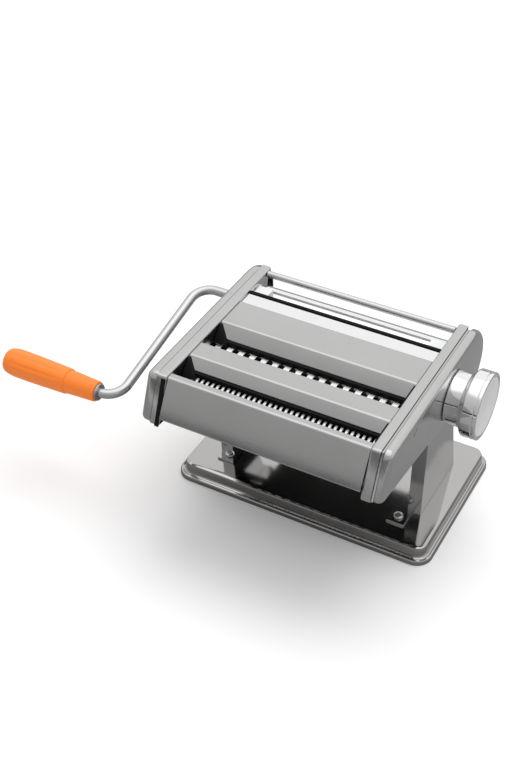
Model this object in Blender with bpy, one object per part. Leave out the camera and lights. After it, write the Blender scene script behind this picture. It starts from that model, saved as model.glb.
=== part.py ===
"""A hand cranked pasta maker: a stamped base, two sheet metal sides, a pair of sheeting rollers
with a thickness knob, a wide and a narrow cutter pair, and a lift-out crank.

Metres, +Z up. The origin is the middle of the base's underside. X runs along the rollers,
with the knob at +X and the crank at -X. Y runs from the front panel (-) to the rear (+).
"""

import math

import bmesh
import bpy

# Clearances and sheet
GAP = 0.0003  # between pieces that touch or are fixed together
RUNNING = 0.0003  # radial, round a shaft
SHEET = 0.0010  # hoods and front panel
PLATE = 0.0015  # the two side plates
COVER_WALL = 0.0010

# Widths, measured outwards from the middle plane
INNER_FACE = 0.0775
INNER_COVER_DEPTH = 0.0074
OUTER_COVER_DEPTH = 0.0063
COVER_FILLET = 0.0055

# Base
BASE_LENGTH = 0.2157
BASE_DEPTH = 0.1363
BASE_HEIGHT = 0.0131
BASE_CORNER = 0.0130
BASE_RIM_HEIGHT = 0.0042
BASE_LEDGE = 0.0040
BASE_STEP_HEIGHT = 0.0075
BASE_SHEET = 0.0012
PAD_THICKNESS = 0.0030

# Covers, in the side view
COVER_TOP = 0.1462
TOP_FRONT_Y = -0.1165
BOTTOM_FRONT_Y = -0.1300
LOWER_EDGE_DROP = 0.0352  # front lower corner, below the covers' top
LOWER_EDGE_SLOPE = -0.130
HUMP_Y = 0.0270
HUMP_RADIUS = 0.0290
HUMP_LAST_ANGLE = -122.0
FRONT_CORNER_RADIUS = 0.0040
INNER_COVER_REAR_Y = 0.0380
INNER_COVER_STRIP = 0.0064
INNER_COVER_NOTCH_Y = 0.0250
INNER_COVER_SLANT = 0.59

# Side plates and legs, in the side view
SEAM_DEPTH = 0.0010
PLATE_BACK = (  # behind the hump's middle, and below the plate's top
    (0.0080, 0.0),
    (0.0175, 0.0080),
    (0.0196, 0.0179),
    (0.0164, 0.0322),
    (0.0060, 0.0632),
    (-0.0005, 0.0792),
    (-0.0013, 0.0867),
    (0.0026, 0.1019),
)
LEG_SHOULDER = 0.0040
LEG_SHOULDER_LENGTH = 0.0100
FOOT_FRONT_Y = -0.0299
FOOT_REAR_Y = 0.0372
LEG_FLANGE = 0.0090
LEG_TOP_DROP = 0.0522  # below the covers' top
FOOT_TAB_X = 0.0730
FOOT_TAB_Y = -0.0400
FOOT_TAB_SIZE = 0.0140
REAR_SCREW_Y = 0.0200
FOOT_WIDTH = 0.0160
SCREW_RADIUS = 0.0017
SCREW_HEAD_RADIUS = 0.0038
SCREW_HEAD_HEIGHT = 0.0020

# Sheeting rollers
ROLLER_RADIUS = 0.0163
ROLLER_DROP = 0.0282  # axis, below the covers' top
FIXED_ROLLER_Y = 0.0245
NIP_GAP = 0.0004
NIP_TRAVEL = 0.0024
FIXED_JOURNAL = 0.0062
ADJUSTABLE_JOURNAL = 0.0050
BUSH_WALL = 0.0020

# Cutter rolls
CUTTER_LENGTH = 0.1500
CUTTER_JOURNAL = 0.0036
DRIVE_JOURNAL = 0.0058  # left end of the roll that the crank can turn
RING_HEIGHT = 0.0020
RING_CLEARANCE = 0.00035
RING_SIDE_CLEARANCE = 0.00025
WIDE_RADIUS = 0.0100
WIDE_REAR_Y = -0.0533
WIDE_DROP = 0.0242
WIDE_COUNT = 16
NARROW_RADIUS = 0.0090
NARROW_REAR_Y = -0.0937
NARROW_DROP = 0.0219
NARROW_COUNT = 36

# Gears
ROLLER_TEETH = 14
CUTTER_TEETH = 14
ROLLER_GEAR_WIDTH = 0.0030
CUTTER_GEAR_WIDTH = 0.0020
ADDENDUM = 0.80  # in modules
DEDENDUM = 1.10  # in modules
TOOTH_TIP_SHARE = 0.20  # of a pitch
TOOTH_ROOT_SHARE = 0.48  # of a pitch

# Hoods and front panel, in the side view
HOOD_DROP = 0.0014  # below the covers' top
REAR_SLOPE_DROP = 0.0085
MIDDLE_SLOPE_DROP = 0.0073
HOOD_FLANGE = 0.0045
REAR_HOOD_BACK_Y = -0.0110
REAR_HOOD_RIDGE_Y = -0.0395
MIDDLE_HOOD_BACK_Y = -0.0686
MIDDLE_HOOD_RIDGE_Y = -0.0845
LIP_BACK_Y = -0.1087
LIP_FRONT_Y = -0.1149
PANEL_BOTTOM_Y = -0.1299
PANEL_BOTTOM_DROP = 0.0293
PANEL_RETURN = 0.0050
SLOPE_FLANGE = 0.0018

# Feed plate over the adjustable roller, and its guides
FEED_BACK_Y = 0.0018
FEED_DROP = 0.0010  # below the hoods' top
LIP_DEPTH = 0.0030
LIP_HEIGHT = 0.0034
GUIDE_LENGTH = 0.0120
GUIDE_CLEARANCE = 0.0006
CHEEK_HEIGHT = 0.0103
LEFT_CHEEK_WIDTH = 0.0110
RIGHT_CHEEK_WIDTH = 0.0050
CHEEK_TIP = 0.0012  # width at the top
CHEEK_DEPTH = 0.0030

# Tie rods
REAR_ROD_Y = 0.0320
REAR_ROD_DROP = 0.0028  # below the covers' top
REAR_ROD_RADIUS = 0.00275
FRONT_ROD_Y = -0.0825
FRONT_ROD_DROP = 0.0122
FRONT_ROD_RADIUS = 0.0030

# Combs and scrapers
BLADE = 0.0012
BLADE_CLEARANCE = 0.0004
SCRAPER_HEIGHT = 0.0085
COMB_HEIGHT = 0.0110
FRONT_COMB_HEIGHT = 0.0060

# Carriage of the adjustable roller
CARRIAGE_HEIGHT = 0.0170
CARRIAGE_BAR = 0.0040
FOLLOWER_RADIUS = 0.0020

# Thickness knob and its shaft
REGULATOR_RADIUS = 0.0040
CAM_RADIUS = 0.0052
CAM_WIDTH = 0.0030
CAM_TURN = 270.0
KNOB_NECK_RADIUS = 0.0203
KNOB_RADIUS = 0.0253
KNOB_NECK_LENGTH = 0.0105
KNOB_FLARE_LENGTH = 0.0050
KNOB_LENGTH = 0.0261
KNOB_WALL = 0.0030
KNOB_CAP_THICKNESS = 0.0012
SHAFT_HEAD_RADIUS = 0.0090
SHAFT_HEAD_THICKNESS = 0.0016
SPRING_RADIUS = 0.0065
SPRING_WIRE = 0.0007
SPRING_TURNS = 5
SPRING_ROOM = 0.0140  # from the knob's wall to the shaft's head
KNOB_HOLLOW = 0.0040  # round the shaft's head

# Crank
CRANK_RADIUS = 0.00375
CRANK_SOCKET_DEPTH = 0.0145
CRANK_ARM_X = -0.1345
CRANK_BEND = 0.0150
GRIP_Y = -0.0985
GRIP_DROP = 0.0271  # grip's axis, below the rollers' axis
GRIP_INNER_X = -0.1520
GRIP_OUTER_X = -0.2345
GRIP_STEP_X = -0.1780
GRIP_SMALL_RADIUS = 0.0080
GRIP_STEP_RADIUS = 0.0092
GRIP_COLLAR_RADIUS = 0.0100
GRIP_FULL_RADIUS = 0.0110
GRIP_CAP_RADIUS = 0.0078
GRIP_CAP_THICKNESS = 0.0015
WASHER_RADIUS = 0.0066
WASHER_THICKNESS = 0.0014

# Places that follow from the sizes above
PLATE_INNER = INNER_FACE + INNER_COVER_DEPTH + GAP
PLATE_OUTER = PLATE_INNER + PLATE
COVER_INNER = PLATE_OUTER + 2 * GAP
OUTER_FACE = COVER_INNER + OUTER_COVER_DEPTH
GEAR_INNER = PLATE_OUTER + 3 * GAP
BETWEEN_COVERS = INNER_FACE - GAP
BETWEEN_PLATES = PLATE_INNER - GAP
ADJUSTABLE_ROLLER_Y = FIXED_ROLLER_Y - 2 * ROLLER_RADIUS - NIP_GAP
WIDE_SPACING = 2 * WIDE_RADIUS - RING_HEIGHT + RING_CLEARANCE
NARROW_SPACING = 2 * NARROW_RADIUS - RING_HEIGHT + RING_CLEARANCE
FOOT_Z = BASE_HEIGHT + GAP
LOWER_EDGE_Z = COVER_TOP - LOWER_EDGE_DROP
LEG_TOP_Z = COVER_TOP - LEG_TOP_DROP
ROLLER_Z = COVER_TOP - ROLLER_DROP
WIDE_Z = COVER_TOP - WIDE_DROP
NARROW_Z = COVER_TOP - NARROW_DROP
HOOD_TOP = COVER_TOP - HOOD_DROP
PANEL_BOTTOM_Z = COVER_TOP - PANEL_BOTTOM_DROP
FEED_Z = HOOD_TOP - FEED_DROP
CHEEK_TOP = HOOD_TOP - GAP - SHEET / 2
CHEEK_BOTTOM = HOOD_TOP - CHEEK_HEIGHT
GUIDE_TOP = HOOD_TOP - LIP_HEIGHT - GAP
REAR_ROD_Z = COVER_TOP - REAR_ROD_DROP
FRONT_ROD_Z = COVER_TOP - FRONT_ROD_DROP
GRIP_Z = ROLLER_Z - GRIP_DROP


def material(name, colour, roughness, metallic):
    """A Principled BSDF material, made once for each name."""
    found = bpy.data.materials.get(name)
    if found:
        return found
    made = bpy.data.materials.new(name)
    made.use_nodes = True
    shader = made.node_tree.nodes["Principled BSDF"]
    shader.inputs["Base Color"].default_value = (*colour, 1.0)
    shader.inputs["Roughness"].default_value = roughness
    shader.inputs["Metallic"].default_value = metallic
    return made


def polished():
    return material("polished_steel", (0.80, 0.79, 0.77), 0.12, 1.0)


def satin():
    return material("satin_steel", (0.72, 0.72, 0.72), 0.35, 1.0)


def chrome():
    return material("chrome", (0.88, 0.88, 0.89), 0.06, 1.0)


def black_plastic():
    return material("black_plastic", (0.02, 0.02, 0.02), 0.45, 0.0)


def grey_plastic():
    return material("grey_plastic", (0.62, 0.63, 0.64), 0.40, 0.0)


def orange_plastic():
    return material("orange_plastic", (0.83, 0.24, 0.04), 0.35, 0.0)


def rubber():
    return material("black_rubber", (0.03, 0.03, 0.03), 0.80, 0.0)


def brass():
    return material("brass", (0.72, 0.55, 0.25), 0.30, 1.0)


def make_object(name, mesh, finish):
    """Turns a bmesh into an object with outward faces, smooth where it is round."""
    bmesh.ops.recalc_face_normals(mesh, faces=mesh.faces)
    data = bpy.data.meshes.new(name)
    mesh.to_mesh(data)
    mesh.free()
    data.shade_smooth()
    data.set_sharp_from_angle(angle=math.radians(35))
    data.materials.append(finish)
    made = bpy.data.objects.new(name, data)
    bpy.context.scene.collection.objects.link(made)
    return made


def skinned(loops):
    """A closed body over a row of loops of (x, y, z) points, with both ends capped."""
    mesh = bmesh.new()
    rings = [[mesh.verts.new(point) for point in loop] for loop in loops]
    for first, second in zip(rings, rings[1:]):
        for i in range(len(first)):
            j = (i + 1) % len(first)
            mesh.faces.new((first[i], first[j], second[j], second[i]))
    mesh.faces.new(rings[0])
    mesh.faces.new(rings[-1])
    return mesh


def at_x(outline, x):
    return [(x, y, z) for y, z in outline]


def prism(outline, x0, x1):
    """A (y, z) outline extruded along X."""
    return skinned([at_x(outline, x0), at_x(outline, x1)])


def box(x0, x1, y0, y1, z0, z1):
    return prism([(y0, z0), (y1, z0), (y1, z1), (y0, z1)], x0, x1)


def turned(profile, centre, sides, closed=False, turn=0.0):
    """An (x, radius) profile spun round the X axis line at centre, given as (y, z)."""
    mesh = bmesh.new()
    y, z = centre
    start = (math.cos(turn), math.sin(turn))
    verts = [mesh.verts.new((x, y + radius * start[0], z + radius * start[1])) for x, radius in profile]
    edges = [mesh.edges.new(pair) for pair in zip(verts, verts[1:])]
    if closed:
        edges.append(mesh.edges.new((verts[-1], verts[0])))
    bmesh.ops.spin(
        mesh, geom=verts + edges, cent=(0, y, z), axis=(1, 0, 0), angle=math.tau, steps=sides
    )
    bmesh.ops.remove_doubles(mesh, verts=mesh.verts, dist=1e-6)
    return mesh


def rod(x0, x1, radius, centre, sides=16):
    return turned([(x0, 0), (x0, radius), (x1, radius), (x1, 0)], centre, sides)


def ring(x0, x1, bore, radius, centre, sides=16):
    return turned([(x0, bore), (x0, radius), (x1, radius), (x1, bore)], centre, sides, closed=True)


def helper(name, mesh):
    made = make_object(name, mesh, satin())
    made.hide_render = True
    made.display_type = "WIRE"
    return made


def boolean(target, name, mesh, operation):
    tool = helper(name, mesh)
    modifier = target.modifiers.new(name, "BOOLEAN")
    modifier.operation = operation
    modifier.solver = "EXACT"
    modifier.object = tool


def cut(target, name, mesh):
    boolean(target, name, mesh, "DIFFERENCE")


def join(target, name, mesh):
    boolean(target, name, mesh, "UNION")


def inset(points, distance):
    """Moves each side of a (y, z) outline inwards, keeping its corners mitred."""
    area = sum(a[0] * b[1] - b[0] * a[1] for a, b in zip(points, points[1:] + points[:1]))
    side = 1 if area > 0 else -1
    moved = []
    for i, here in enumerate(points):
        before = points[i - 1]
        after = points[(i + 1) % len(points)]
        normals = []
        for a, b in ((before, here), (here, after)):
            length = math.dist(a, b)
            normals.append((-(b[1] - a[1]) / length * side, (b[0] - a[0]) / length * side))
        (ny, nz), (my, mz) = normals
        scale = distance / (1 + ny * my + nz * mz)
        moved.append((here[0] + (ny + my) * scale, here[1] + (nz + mz) * scale))
    return moved


def rounded(points, corners, steps=4):
    """Replaces the corners given as {index: radius} with arcs."""
    result = []
    for i, here in enumerate(points):
        if i not in corners:
            result.append(here)
            continue
        before = points[i - 1]
        after = points[(i + 1) % len(points)]
        back = [(before[k] - here[k]) / math.dist(before, here) for k in (0, 1)]
        ahead = [(after[k] - here[k]) / math.dist(after, here) for k in (0, 1)]
        half = math.acos(back[0] * ahead[0] + back[1] * ahead[1]) / 2
        radius = corners[i]
        middle = [back[k] + ahead[k] for k in (0, 1)]
        size = math.hypot(*middle)
        centre = [here[k] + middle[k] / size * radius / math.sin(half) for k in (0, 1)]
        start = [here[k] + back[k] * radius / math.tan(half) for k in (0, 1)]
        end = [here[k] + ahead[k] * radius / math.tan(half) for k in (0, 1)]
        first = math.atan2(start[1] - centre[1], start[0] - centre[0])
        sweep = math.atan2(end[1] - centre[1], end[0] - centre[0]) - first
        sweep = (sweep + math.pi) % math.tau - math.pi
        for step in range(steps + 1):
            angle = first + sweep * step / steps
            result.append((centre[0] + radius * math.cos(angle), centre[1] + radius * math.sin(angle)))
    return result


def sheet_path(points, thickness):
    """The outline of a bent sheet whose outer side follows the points; its inside lies to their left."""
    inner = []
    for i, here in enumerate(points):
        normals = []
        if i:
            normals.append((points[i - 1], here))
        if i < len(points) - 1:
            normals.append((here, points[i + 1]))
        units = [(-(b[1] - a[1]) / math.dist(a, b), (b[0] - a[0]) / math.dist(a, b)) for a, b in normals]
        ny = sum(unit[0] for unit in units)
        nz = sum(unit[1] for unit in units)
        if len(units) == 1:
            scale = thickness
        else:
            scale = thickness / (1 + units[0][0] * units[1][0] + units[0][1] * units[1][1])
        inner.append((here[0] + ny * scale, here[1] + nz * scale))
    return points + inner[::-1]


def lower_edge(y):
    """Height of the covers' sloping lower edge."""
    return LOWER_EDGE_Z + LOWER_EDGE_SLOPE * (y - BOTTOM_FRONT_Y)


def cover_outline():
    """Outer cover in the side view: corners 0 and 1 are the front ones."""
    points = [(BOTTOM_FRONT_Y, LOWER_EDGE_Z), (TOP_FRONT_Y, COVER_TOP)]
    centre_z = COVER_TOP - HUMP_RADIUS
    count = 13
    for step in range(count + 1):
        angle = math.radians(90 + (HUMP_LAST_ANGLE - 90) * step / count)
        points.append((HUMP_Y + HUMP_RADIUS * math.cos(angle), centre_z + HUMP_RADIUS * math.sin(angle)))
    return points


def inner_cover_outline():
    strip_z = COVER_TOP - INNER_COVER_STRIP
    drop = strip_z - lower_edge(0)
    last_y = INNER_COVER_NOTCH_Y - INNER_COVER_SLANT * drop
    return [
        (BOTTOM_FRONT_Y, LOWER_EDGE_Z),
        (TOP_FRONT_Y, COVER_TOP),
        (INNER_COVER_REAR_Y, COVER_TOP),
        (INNER_COVER_REAR_Y, strip_z),
        (INNER_COVER_NOTCH_Y, strip_z),
        (last_y, lower_edge(last_y)),
    ]


def front_rounded(outline, distance):
    """The outline moved inwards, with its two front corners rounded to match."""
    radius = max(FRONT_CORNER_RADIUS - distance, 0.0006)
    return rounded(inset(outline, distance) if distance else outline, {0: radius, 1: radius})


def side_plate_outline():
    """Side plate with its leg, in the side view, from the front lower corner round by the top."""
    top = COVER_TOP - SEAM_DEPTH
    front = inset(cover_outline(), SEAM_DEPTH)
    leg_front = FOOT_FRONT_Y
    shoulder_y = leg_front + LEG_SHOULDER - LEG_SHOULDER_LENGTH
    points = [front[0], (front[1][0], top)]
    points += [(HUMP_Y + behind, top - below) for behind, below in PLATE_BACK]
    points += [
        (FOOT_REAR_Y, FOOT_Z),
        (leg_front, FOOT_Z),
        (leg_front, LEG_TOP_Z - LEG_SHOULDER_LENGTH),
        (shoulder_y, lower_edge(shoulder_y) + SEAM_DEPTH),
    ]
    return points


def mirrored(mesh, side):
    """Turns a piece made for the right side into the left one."""
    if side < 0:
        bmesh.ops.scale(mesh, vec=(-1, 1, 1), verts=mesh.verts)
    return mesh


def side_name(side):
    return "right" if side > 0 else "left"


def rounded_rectangle(length, depth, radius, z):
    half_x = length / 2
    half_y = depth / 2
    corners = [(half_x, half_y), (-half_x, half_y), (-half_x, -half_y), (half_x, -half_y)]
    return [(x, y, z) for x, y in rounded(corners, dict.fromkeys(range(4), radius), steps=5)]


def tray_loop(distance, z):
    return rounded_rectangle(
        BASE_LENGTH - 2 * distance,
        BASE_DEPTH - 2 * distance,
        max(BASE_CORNER - distance, 0.002),
        z,
    )


def make_base():
    """Stamped tray with a rim, a ledge and a raised flat top, open below, and its pad."""
    outer = [
        (0.0, 0.0),
        (0.0, BASE_RIM_HEIGHT - 0.0012),
        (0.0008, BASE_RIM_HEIGHT),
        (BASE_LEDGE, BASE_RIM_HEIGHT + 0.0006),
        (BASE_LEDGE + 0.0004, BASE_STEP_HEIGHT),
        (BASE_LEDGE + 0.0014, BASE_HEIGHT - 0.0010),
        (BASE_LEDGE + 0.0024, BASE_HEIGHT),
    ]
    inner = [
        (BASE_LEDGE + 0.0028, BASE_HEIGHT - BASE_SHEET),
        (BASE_LEDGE + 0.0004 + BASE_SHEET, BASE_STEP_HEIGHT),
        (BASE_LEDGE + BASE_SHEET, BASE_RIM_HEIGHT + 0.0006 - BASE_SHEET),
        (BASE_SHEET, BASE_RIM_HEIGHT - BASE_SHEET),
        (BASE_SHEET, 0.0),
    ]
    tray = make_object("base_plate", skinned([tray_loop(*step) for step in inner + outer]), polished())
    for number, (x, y) in enumerate(base_screw_places()):
        hole = upright(x, y, SCREW_RADIUS + RUNNING, PAD_THICKNESS, BASE_HEIGHT + 0.005)
        cut(tray, f"base_screw_hole_{number}", hole)
    # The pad sits within the rim and reaches up to the ledge's underside.
    pad = [tray_loop(BASE_SHEET + GAP, 0.0), tray_loop(BASE_SHEET + GAP, pad_top())]
    make_object("base_pad", skinned(pad), rubber())


def pad_top():
    return min(PAD_THICKNESS, BASE_RIM_HEIGHT - BASE_SHEET) - GAP


def base_screw_places():
    places = []
    for side in (-1, 1):
        places.append((side * FOOT_TAB_X, FOOT_TAB_Y))
        places.append((side * FOOT_TAB_X, REAR_SCREW_Y))
    return places


def upright(x, y, radius, z0, z1, sides=12):
    """A cylinder along Z."""
    loops = []
    for z in (z0, z1):
        angles = [math.tau * k / sides for k in range(sides)]
        loops.append([(x + radius * math.cos(a), y + radius * math.sin(a), z) for a in angles])
    return skinned(loops)


def make_base_screws():
    """Pan head screws that hold the feet down on the base."""
    shank_top = FOOT_Z + PLATE + GAP
    for number, (x, y) in enumerate(base_screw_places(), 1):
        head = upright(x, y, SCREW_HEAD_RADIUS, shank_top, shank_top + SCREW_HEAD_HEIGHT)
        screw = make_object(f"base_screw_{number}", head, satin())
        shank = upright(x, y, SCREW_RADIUS, pad_top() + GAP, shank_top + SCREW_HEAD_HEIGHT / 2)
        join(screw, f"base_screw_shank_{number}", shank)


def make_side_plate(side):
    """The plate that carries every shaft, with its leg, the leg's front flange and the foot."""
    name = f"{side_name(side)}_side_plate"
    plate = make_object(name, mirrored(prism(side_plate_outline(), PLATE_INNER, PLATE_OUTER), side), satin())
    overlap = PLATE / 2
    foot = box(
        PLATE_INNER - FOOT_WIDTH, PLATE_INNER + overlap, FOOT_FRONT_Y, FOOT_REAR_Y, FOOT_Z, FOOT_Z + PLATE
    )
    join(plate, f"{name}_foot", mirrored(foot, side))
    tab = box(
        FOOT_TAB_X - FOOT_TAB_SIZE / 2,
        FOOT_TAB_X + FOOT_TAB_SIZE / 2,
        FOOT_TAB_Y - FOOT_TAB_SIZE / 2,
        FOOT_FRONT_Y + overlap,
        FOOT_Z,
        FOOT_Z + PLATE,
    )
    join(plate, f"{name}_tab", mirrored(tab, side))
    flange = box(
        PLATE_INNER - LEG_FLANGE,
        PLATE_INNER + overlap,
        FOOT_FRONT_Y,
        FOOT_FRONT_Y + PLATE,
        FOOT_Z,
        LEG_TOP_Z - 0.012,
    )
    join(plate, f"{name}_flange", mirrored(flange, side))
    for number, (x, y) in enumerate(base_screw_places()):
        if x * side > 0:
            hole = upright(x, y, SCREW_RADIUS + RUNNING, BASE_HEIGHT - 0.002, FOOT_Z + 2 * PLATE)
            cut(plate, f"{name}_screw_hole_{number}", hole)
    x0 = (PLATE_INNER - PLATE) * side
    x1 = (PLATE_OUTER + PLATE) * side
    for number, centre in enumerate(cutter_centres()):
        hole = rod(x0, x1, journal_radius(number, side) + RUNNING, centre)
        cut(plate, f"{name}_cutter_hole_{number}", hole)
    bush_hole = FIXED_JOURNAL + RUNNING + BUSH_WALL + GAP
    cut(plate, f"{name}_bush_hole", rod(x0, x1, bush_hole, (FIXED_ROLLER_Y, ROLLER_Z), 20))
    if side > 0:
        shaft_hole = rod(x0, x1, REGULATOR_RADIUS + RUNNING, (ADJUSTABLE_ROLLER_Y, ROLLER_Z), 16)
        cut(plate, f"{name}_shaft_hole", shaft_hole)
        slot = box(
            x0,
            x1,
            follower_y() - NIP_TRAVEL - FOLLOWER_RADIUS - 2 * RUNNING,
            ADJUSTABLE_ROLLER_Y - REGULATOR_RADIUS / 2,
            ROLLER_Z - FOLLOWER_RADIUS - RUNNING,
            ROLLER_Z + FOLLOWER_RADIUS + RUNNING,
        )
        cut(plate, f"{name}_slot", slot)
    else:
        reach = ADJUSTABLE_JOURNAL + RUNNING
        cut(plate, f"{name}_slot", slot_along_y(x1, x0, reach))
    return plate


def slot_along_y(x0, x1, reach):
    """A round-ended slot for the adjustable roller's journal and its travel."""
    outline = []
    for centre, first in ((ADJUSTABLE_ROLLER_Y, -90), (ADJUSTABLE_ROLLER_Y - NIP_TRAVEL, 90)):
        for step in range(9):
            angle = math.radians(first + 180 * step / 8)
            outline.append((centre + reach * math.cos(angle), ROLLER_Z + reach * math.sin(angle)))
    return prism(outline, x0, x1)


def follower_y():
    """Where the carriage's pin rests in front of the cam."""
    return ADJUSTABLE_ROLLER_Y - CAM_RADIUS - GAP - FOLLOWER_RADIUS


def cutter_centres():
    return [
        (WIDE_REAR_Y, WIDE_Z),
        (WIDE_REAR_Y - WIDE_SPACING, WIDE_Z),
        (NARROW_REAR_Y, NARROW_Z),
        (NARROW_REAR_Y - NARROW_SPACING, NARROW_Z),
    ]


def journal_radius(number, side):
    """The rear roll of each cutter pair has a thick left journal, bored for the crank."""
    return DRIVE_JOURNAL if side < 0 and number in (0, 2) else CUTTER_JOURNAL


def make_inner_cover(side):
    """Pressed tray between the side plate and the working space."""
    name = f"{side_name(side)}_inner_cover"
    outline = inner_cover_outline()
    outer = front_rounded(outline, 0)
    hollow = front_rounded(outline, COVER_WALL)
    rim = INNER_FACE + INNER_COVER_DEPTH
    loops = [
        at_x(outer, INNER_FACE),
        at_x(outer, rim),
        at_x(hollow, rim),
        at_x(hollow, INNER_FACE + COVER_WALL),
    ]
    cover = make_object(name, mirrored(skinned(loops), side), polished())
    x0 = (INNER_FACE - 0.002) * side
    x1 = (INNER_FACE + 0.004) * side
    for number, centre in enumerate(cutter_centres()):
        cut(cover, f"{name}_hole_{number}", rod(x0, x1, journal_radius(number, side) + RUNNING, centre))
    back, front, bottom, top = carriage_sides()
    window = box(
        x0,
        x1,
        front - NIP_TRAVEL - 2 * GAP,
        back + GAP,
        bottom - GAP,
        top + GAP,
    )
    cut(cover, f"{name}_window", window)
    return cover


def make_outer_cover(side):
    """Pressed shell over the gears, with rounded edges and the humped rear end."""
    name = f"{side_name(side)}_outer_cover"
    outline = cover_outline()
    loops = [at_x(front_rounded(outline, 0), COVER_INNER)]
    bend = OUTER_FACE - COVER_FILLET
    for step in range(5):
        angle = math.radians(90 * step / 4)
        inward = COVER_FILLET * (1 - math.cos(angle))
        loops.append(at_x(front_rounded(outline, inward), bend + COVER_FILLET * math.sin(angle)))
    inner = []
    inner_fillet = COVER_FILLET - COVER_WALL
    for step in range(4):
        angle = math.radians(90 * step / 3)
        inward = COVER_WALL + inner_fillet * (1 - math.cos(angle))
        inner.append(at_x(front_rounded(outline, inward), bend + inner_fillet * math.sin(angle)))
    inner.insert(0, at_x(front_rounded(outline, COVER_WALL), COVER_INNER))
    cover = make_object(name, mirrored(skinned(inner[::-1] + loops), side), polished())
    x0 = (OUTER_FACE - 0.004) * side
    x1 = (OUTER_FACE + 0.004) * side
    if side > 0:
        hole = rod(x0, x1, REGULATOR_RADIUS + RUNNING, (ADJUSTABLE_ROLLER_Y, ROLLER_Z), 16)
        cut(cover, f"{name}_knob_hole", hole)
    else:
        sockets = [(FIXED_ROLLER_Y, ROLLER_Z), cutter_centres()[0], cutter_centres()[2]]
        for number, centre in enumerate(sockets):
            cut(cover, f"{name}_crank_hole_{number}", rod(x0, x1, CRANK_RADIUS + 3 * RUNNING, centre, 16))
    return cover


def carriage_sides():
    """Back, front, bottom and top of the carriage, at rest."""
    back = ADJUSTABLE_ROLLER_Y + ADJUSTABLE_JOURNAL + 0.0025
    front = ADJUSTABLE_ROLLER_Y - ROLLER_RADIUS - 0.0015 - CARRIAGE_BAR
    return back, front, ROLLER_Z - CARRIAGE_HEIGHT / 2, ROLLER_Z + CARRIAGE_HEIGHT / 2


def make_carriage():
    """Yoke whose end plates carry the adjustable roller, joined by a bar in front of it."""
    back, front, bottom, top = carriage_sides()
    plate_in = INNER_FACE + COVER_WALL + 2 * GAP
    plate_out = BETWEEN_PLATES - GAP
    plan = [
        (-plate_out, front),
        (plate_out, front),
        (plate_out, back),
        (plate_in, back),
        (plate_in, front + CARRIAGE_BAR),
        (-plate_in, front + CARRIAGE_BAR),
        (-plate_in, back),
        (-plate_out, back),
    ]
    loops = [[(x, y, z) for x, y in plan] for z in (bottom, top)]
    carriage = make_object("adjustable_carriage", skinned(loops), satin())
    centre = (ADJUSTABLE_ROLLER_Y, ROLLER_Z)
    for side in (-1, 1):
        bore = rod(side * (plate_in - 0.002), side * (plate_out + 0.002), ADJUSTABLE_JOURNAL + RUNNING, centre)
        cut(carriage, f"carriage_bore_{side_name(side)}", bore)
    pin = rod(plate_out - 0.001, GEAR_INNER + CAM_WIDTH, FOLLOWER_RADIUS, (follower_y(), ROLLER_Z), 12)
    join(carriage, "carriage_pin", pin)
    return carriage


def roller_profile(left_journal, right_journal, left_end, right_end, bore):
    """Half section of a sheeting roller; bore is (radius, depth) from the left, or None."""
    half = INNER_FACE - 0.0008
    profile = [(left_end, 0)]
    if bore:
        radius, depth = bore
        profile = [(left_end + depth, 0), (left_end + depth, radius), (left_end, radius)]
    return profile + [
        (left_end, left_journal),
        (-half, left_journal),
        (-half, ROLLER_RADIUS),
        (half, ROLLER_RADIUS),
        (half, right_journal),
        (right_end, right_journal),
        (right_end, 0),
    ]


def make_rollers():
    left_end = -(OUTER_FACE - COVER_WALL - 2 * GAP)
    socket = (CRANK_RADIUS + RUNNING, CRANK_SOCKET_DEPTH - (OUTER_FACE + left_end))
    profile = roller_profile(FIXED_JOURNAL, FIXED_JOURNAL, left_end, PLATE_OUTER + GAP, socket)
    fixed = make_object("fixed_roller", turned(profile, (FIXED_ROLLER_Y, ROLLER_Z), 28), chrome())
    left_end = -(GEAR_INNER + ROLLER_GEAR_WIDTH + GAP)
    right_end = BETWEEN_PLATES - 2 * GAP
    profile = roller_profile(ADJUSTABLE_JOURNAL, ADJUSTABLE_JOURNAL, left_end, right_end, None)
    centre = (ADJUSTABLE_ROLLER_Y, ROLLER_Z)
    adjustable = make_object("adjustable_roller", turned(profile, centre, 28), chrome())
    return fixed, adjustable


def make_bushes():
    """Long bushes pressed into the side plates, carrying the fixed roller."""
    for side in (-1, 1):
        bore = FIXED_JOURNAL + RUNNING
        bush = ring(
            side * (INNER_FACE + GAP),
            side * (PLATE_OUTER + GAP),
            bore,
            bore + BUSH_WALL,
            (FIXED_ROLLER_Y, ROLLER_Z),
            20,
        )
        make_object(f"{side_name(side)}_roller_bush", bush, brass())


def make_gear(name, centre, teeth, spacing, bore, x0, x1, tooth_first):
    """Spur gear; tooth_first puts a tooth, not a gap, on the line along +Y."""
    module = spacing / teeth
    pitch = math.tau / teeth
    root = spacing / 2 - DEDENDUM * module
    tip = spacing / 2 + ADDENDUM * module
    outline = []
    for tooth in range(teeth):
        middle = pitch * (tooth + (0 if tooth_first else 0.5))
        shares = ((root, -TOOTH_ROOT_SHARE), (tip, -TOOTH_TIP_SHARE), (tip, TOOTH_TIP_SHARE), (root, TOOTH_ROOT_SHARE))
        for radius, share in shares:
            angle = middle + pitch * share / 2
            outline.append((centre[0] + radius * math.cos(angle), centre[1] + radius * math.sin(angle)))
    gear = make_object(name, prism(outline, x0, x1), satin())
    cut(gear, f"{name}_bore", rod(min(x0, x1) - PLATE, max(x0, x1) + PLATE, bore, centre))
    return gear


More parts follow.
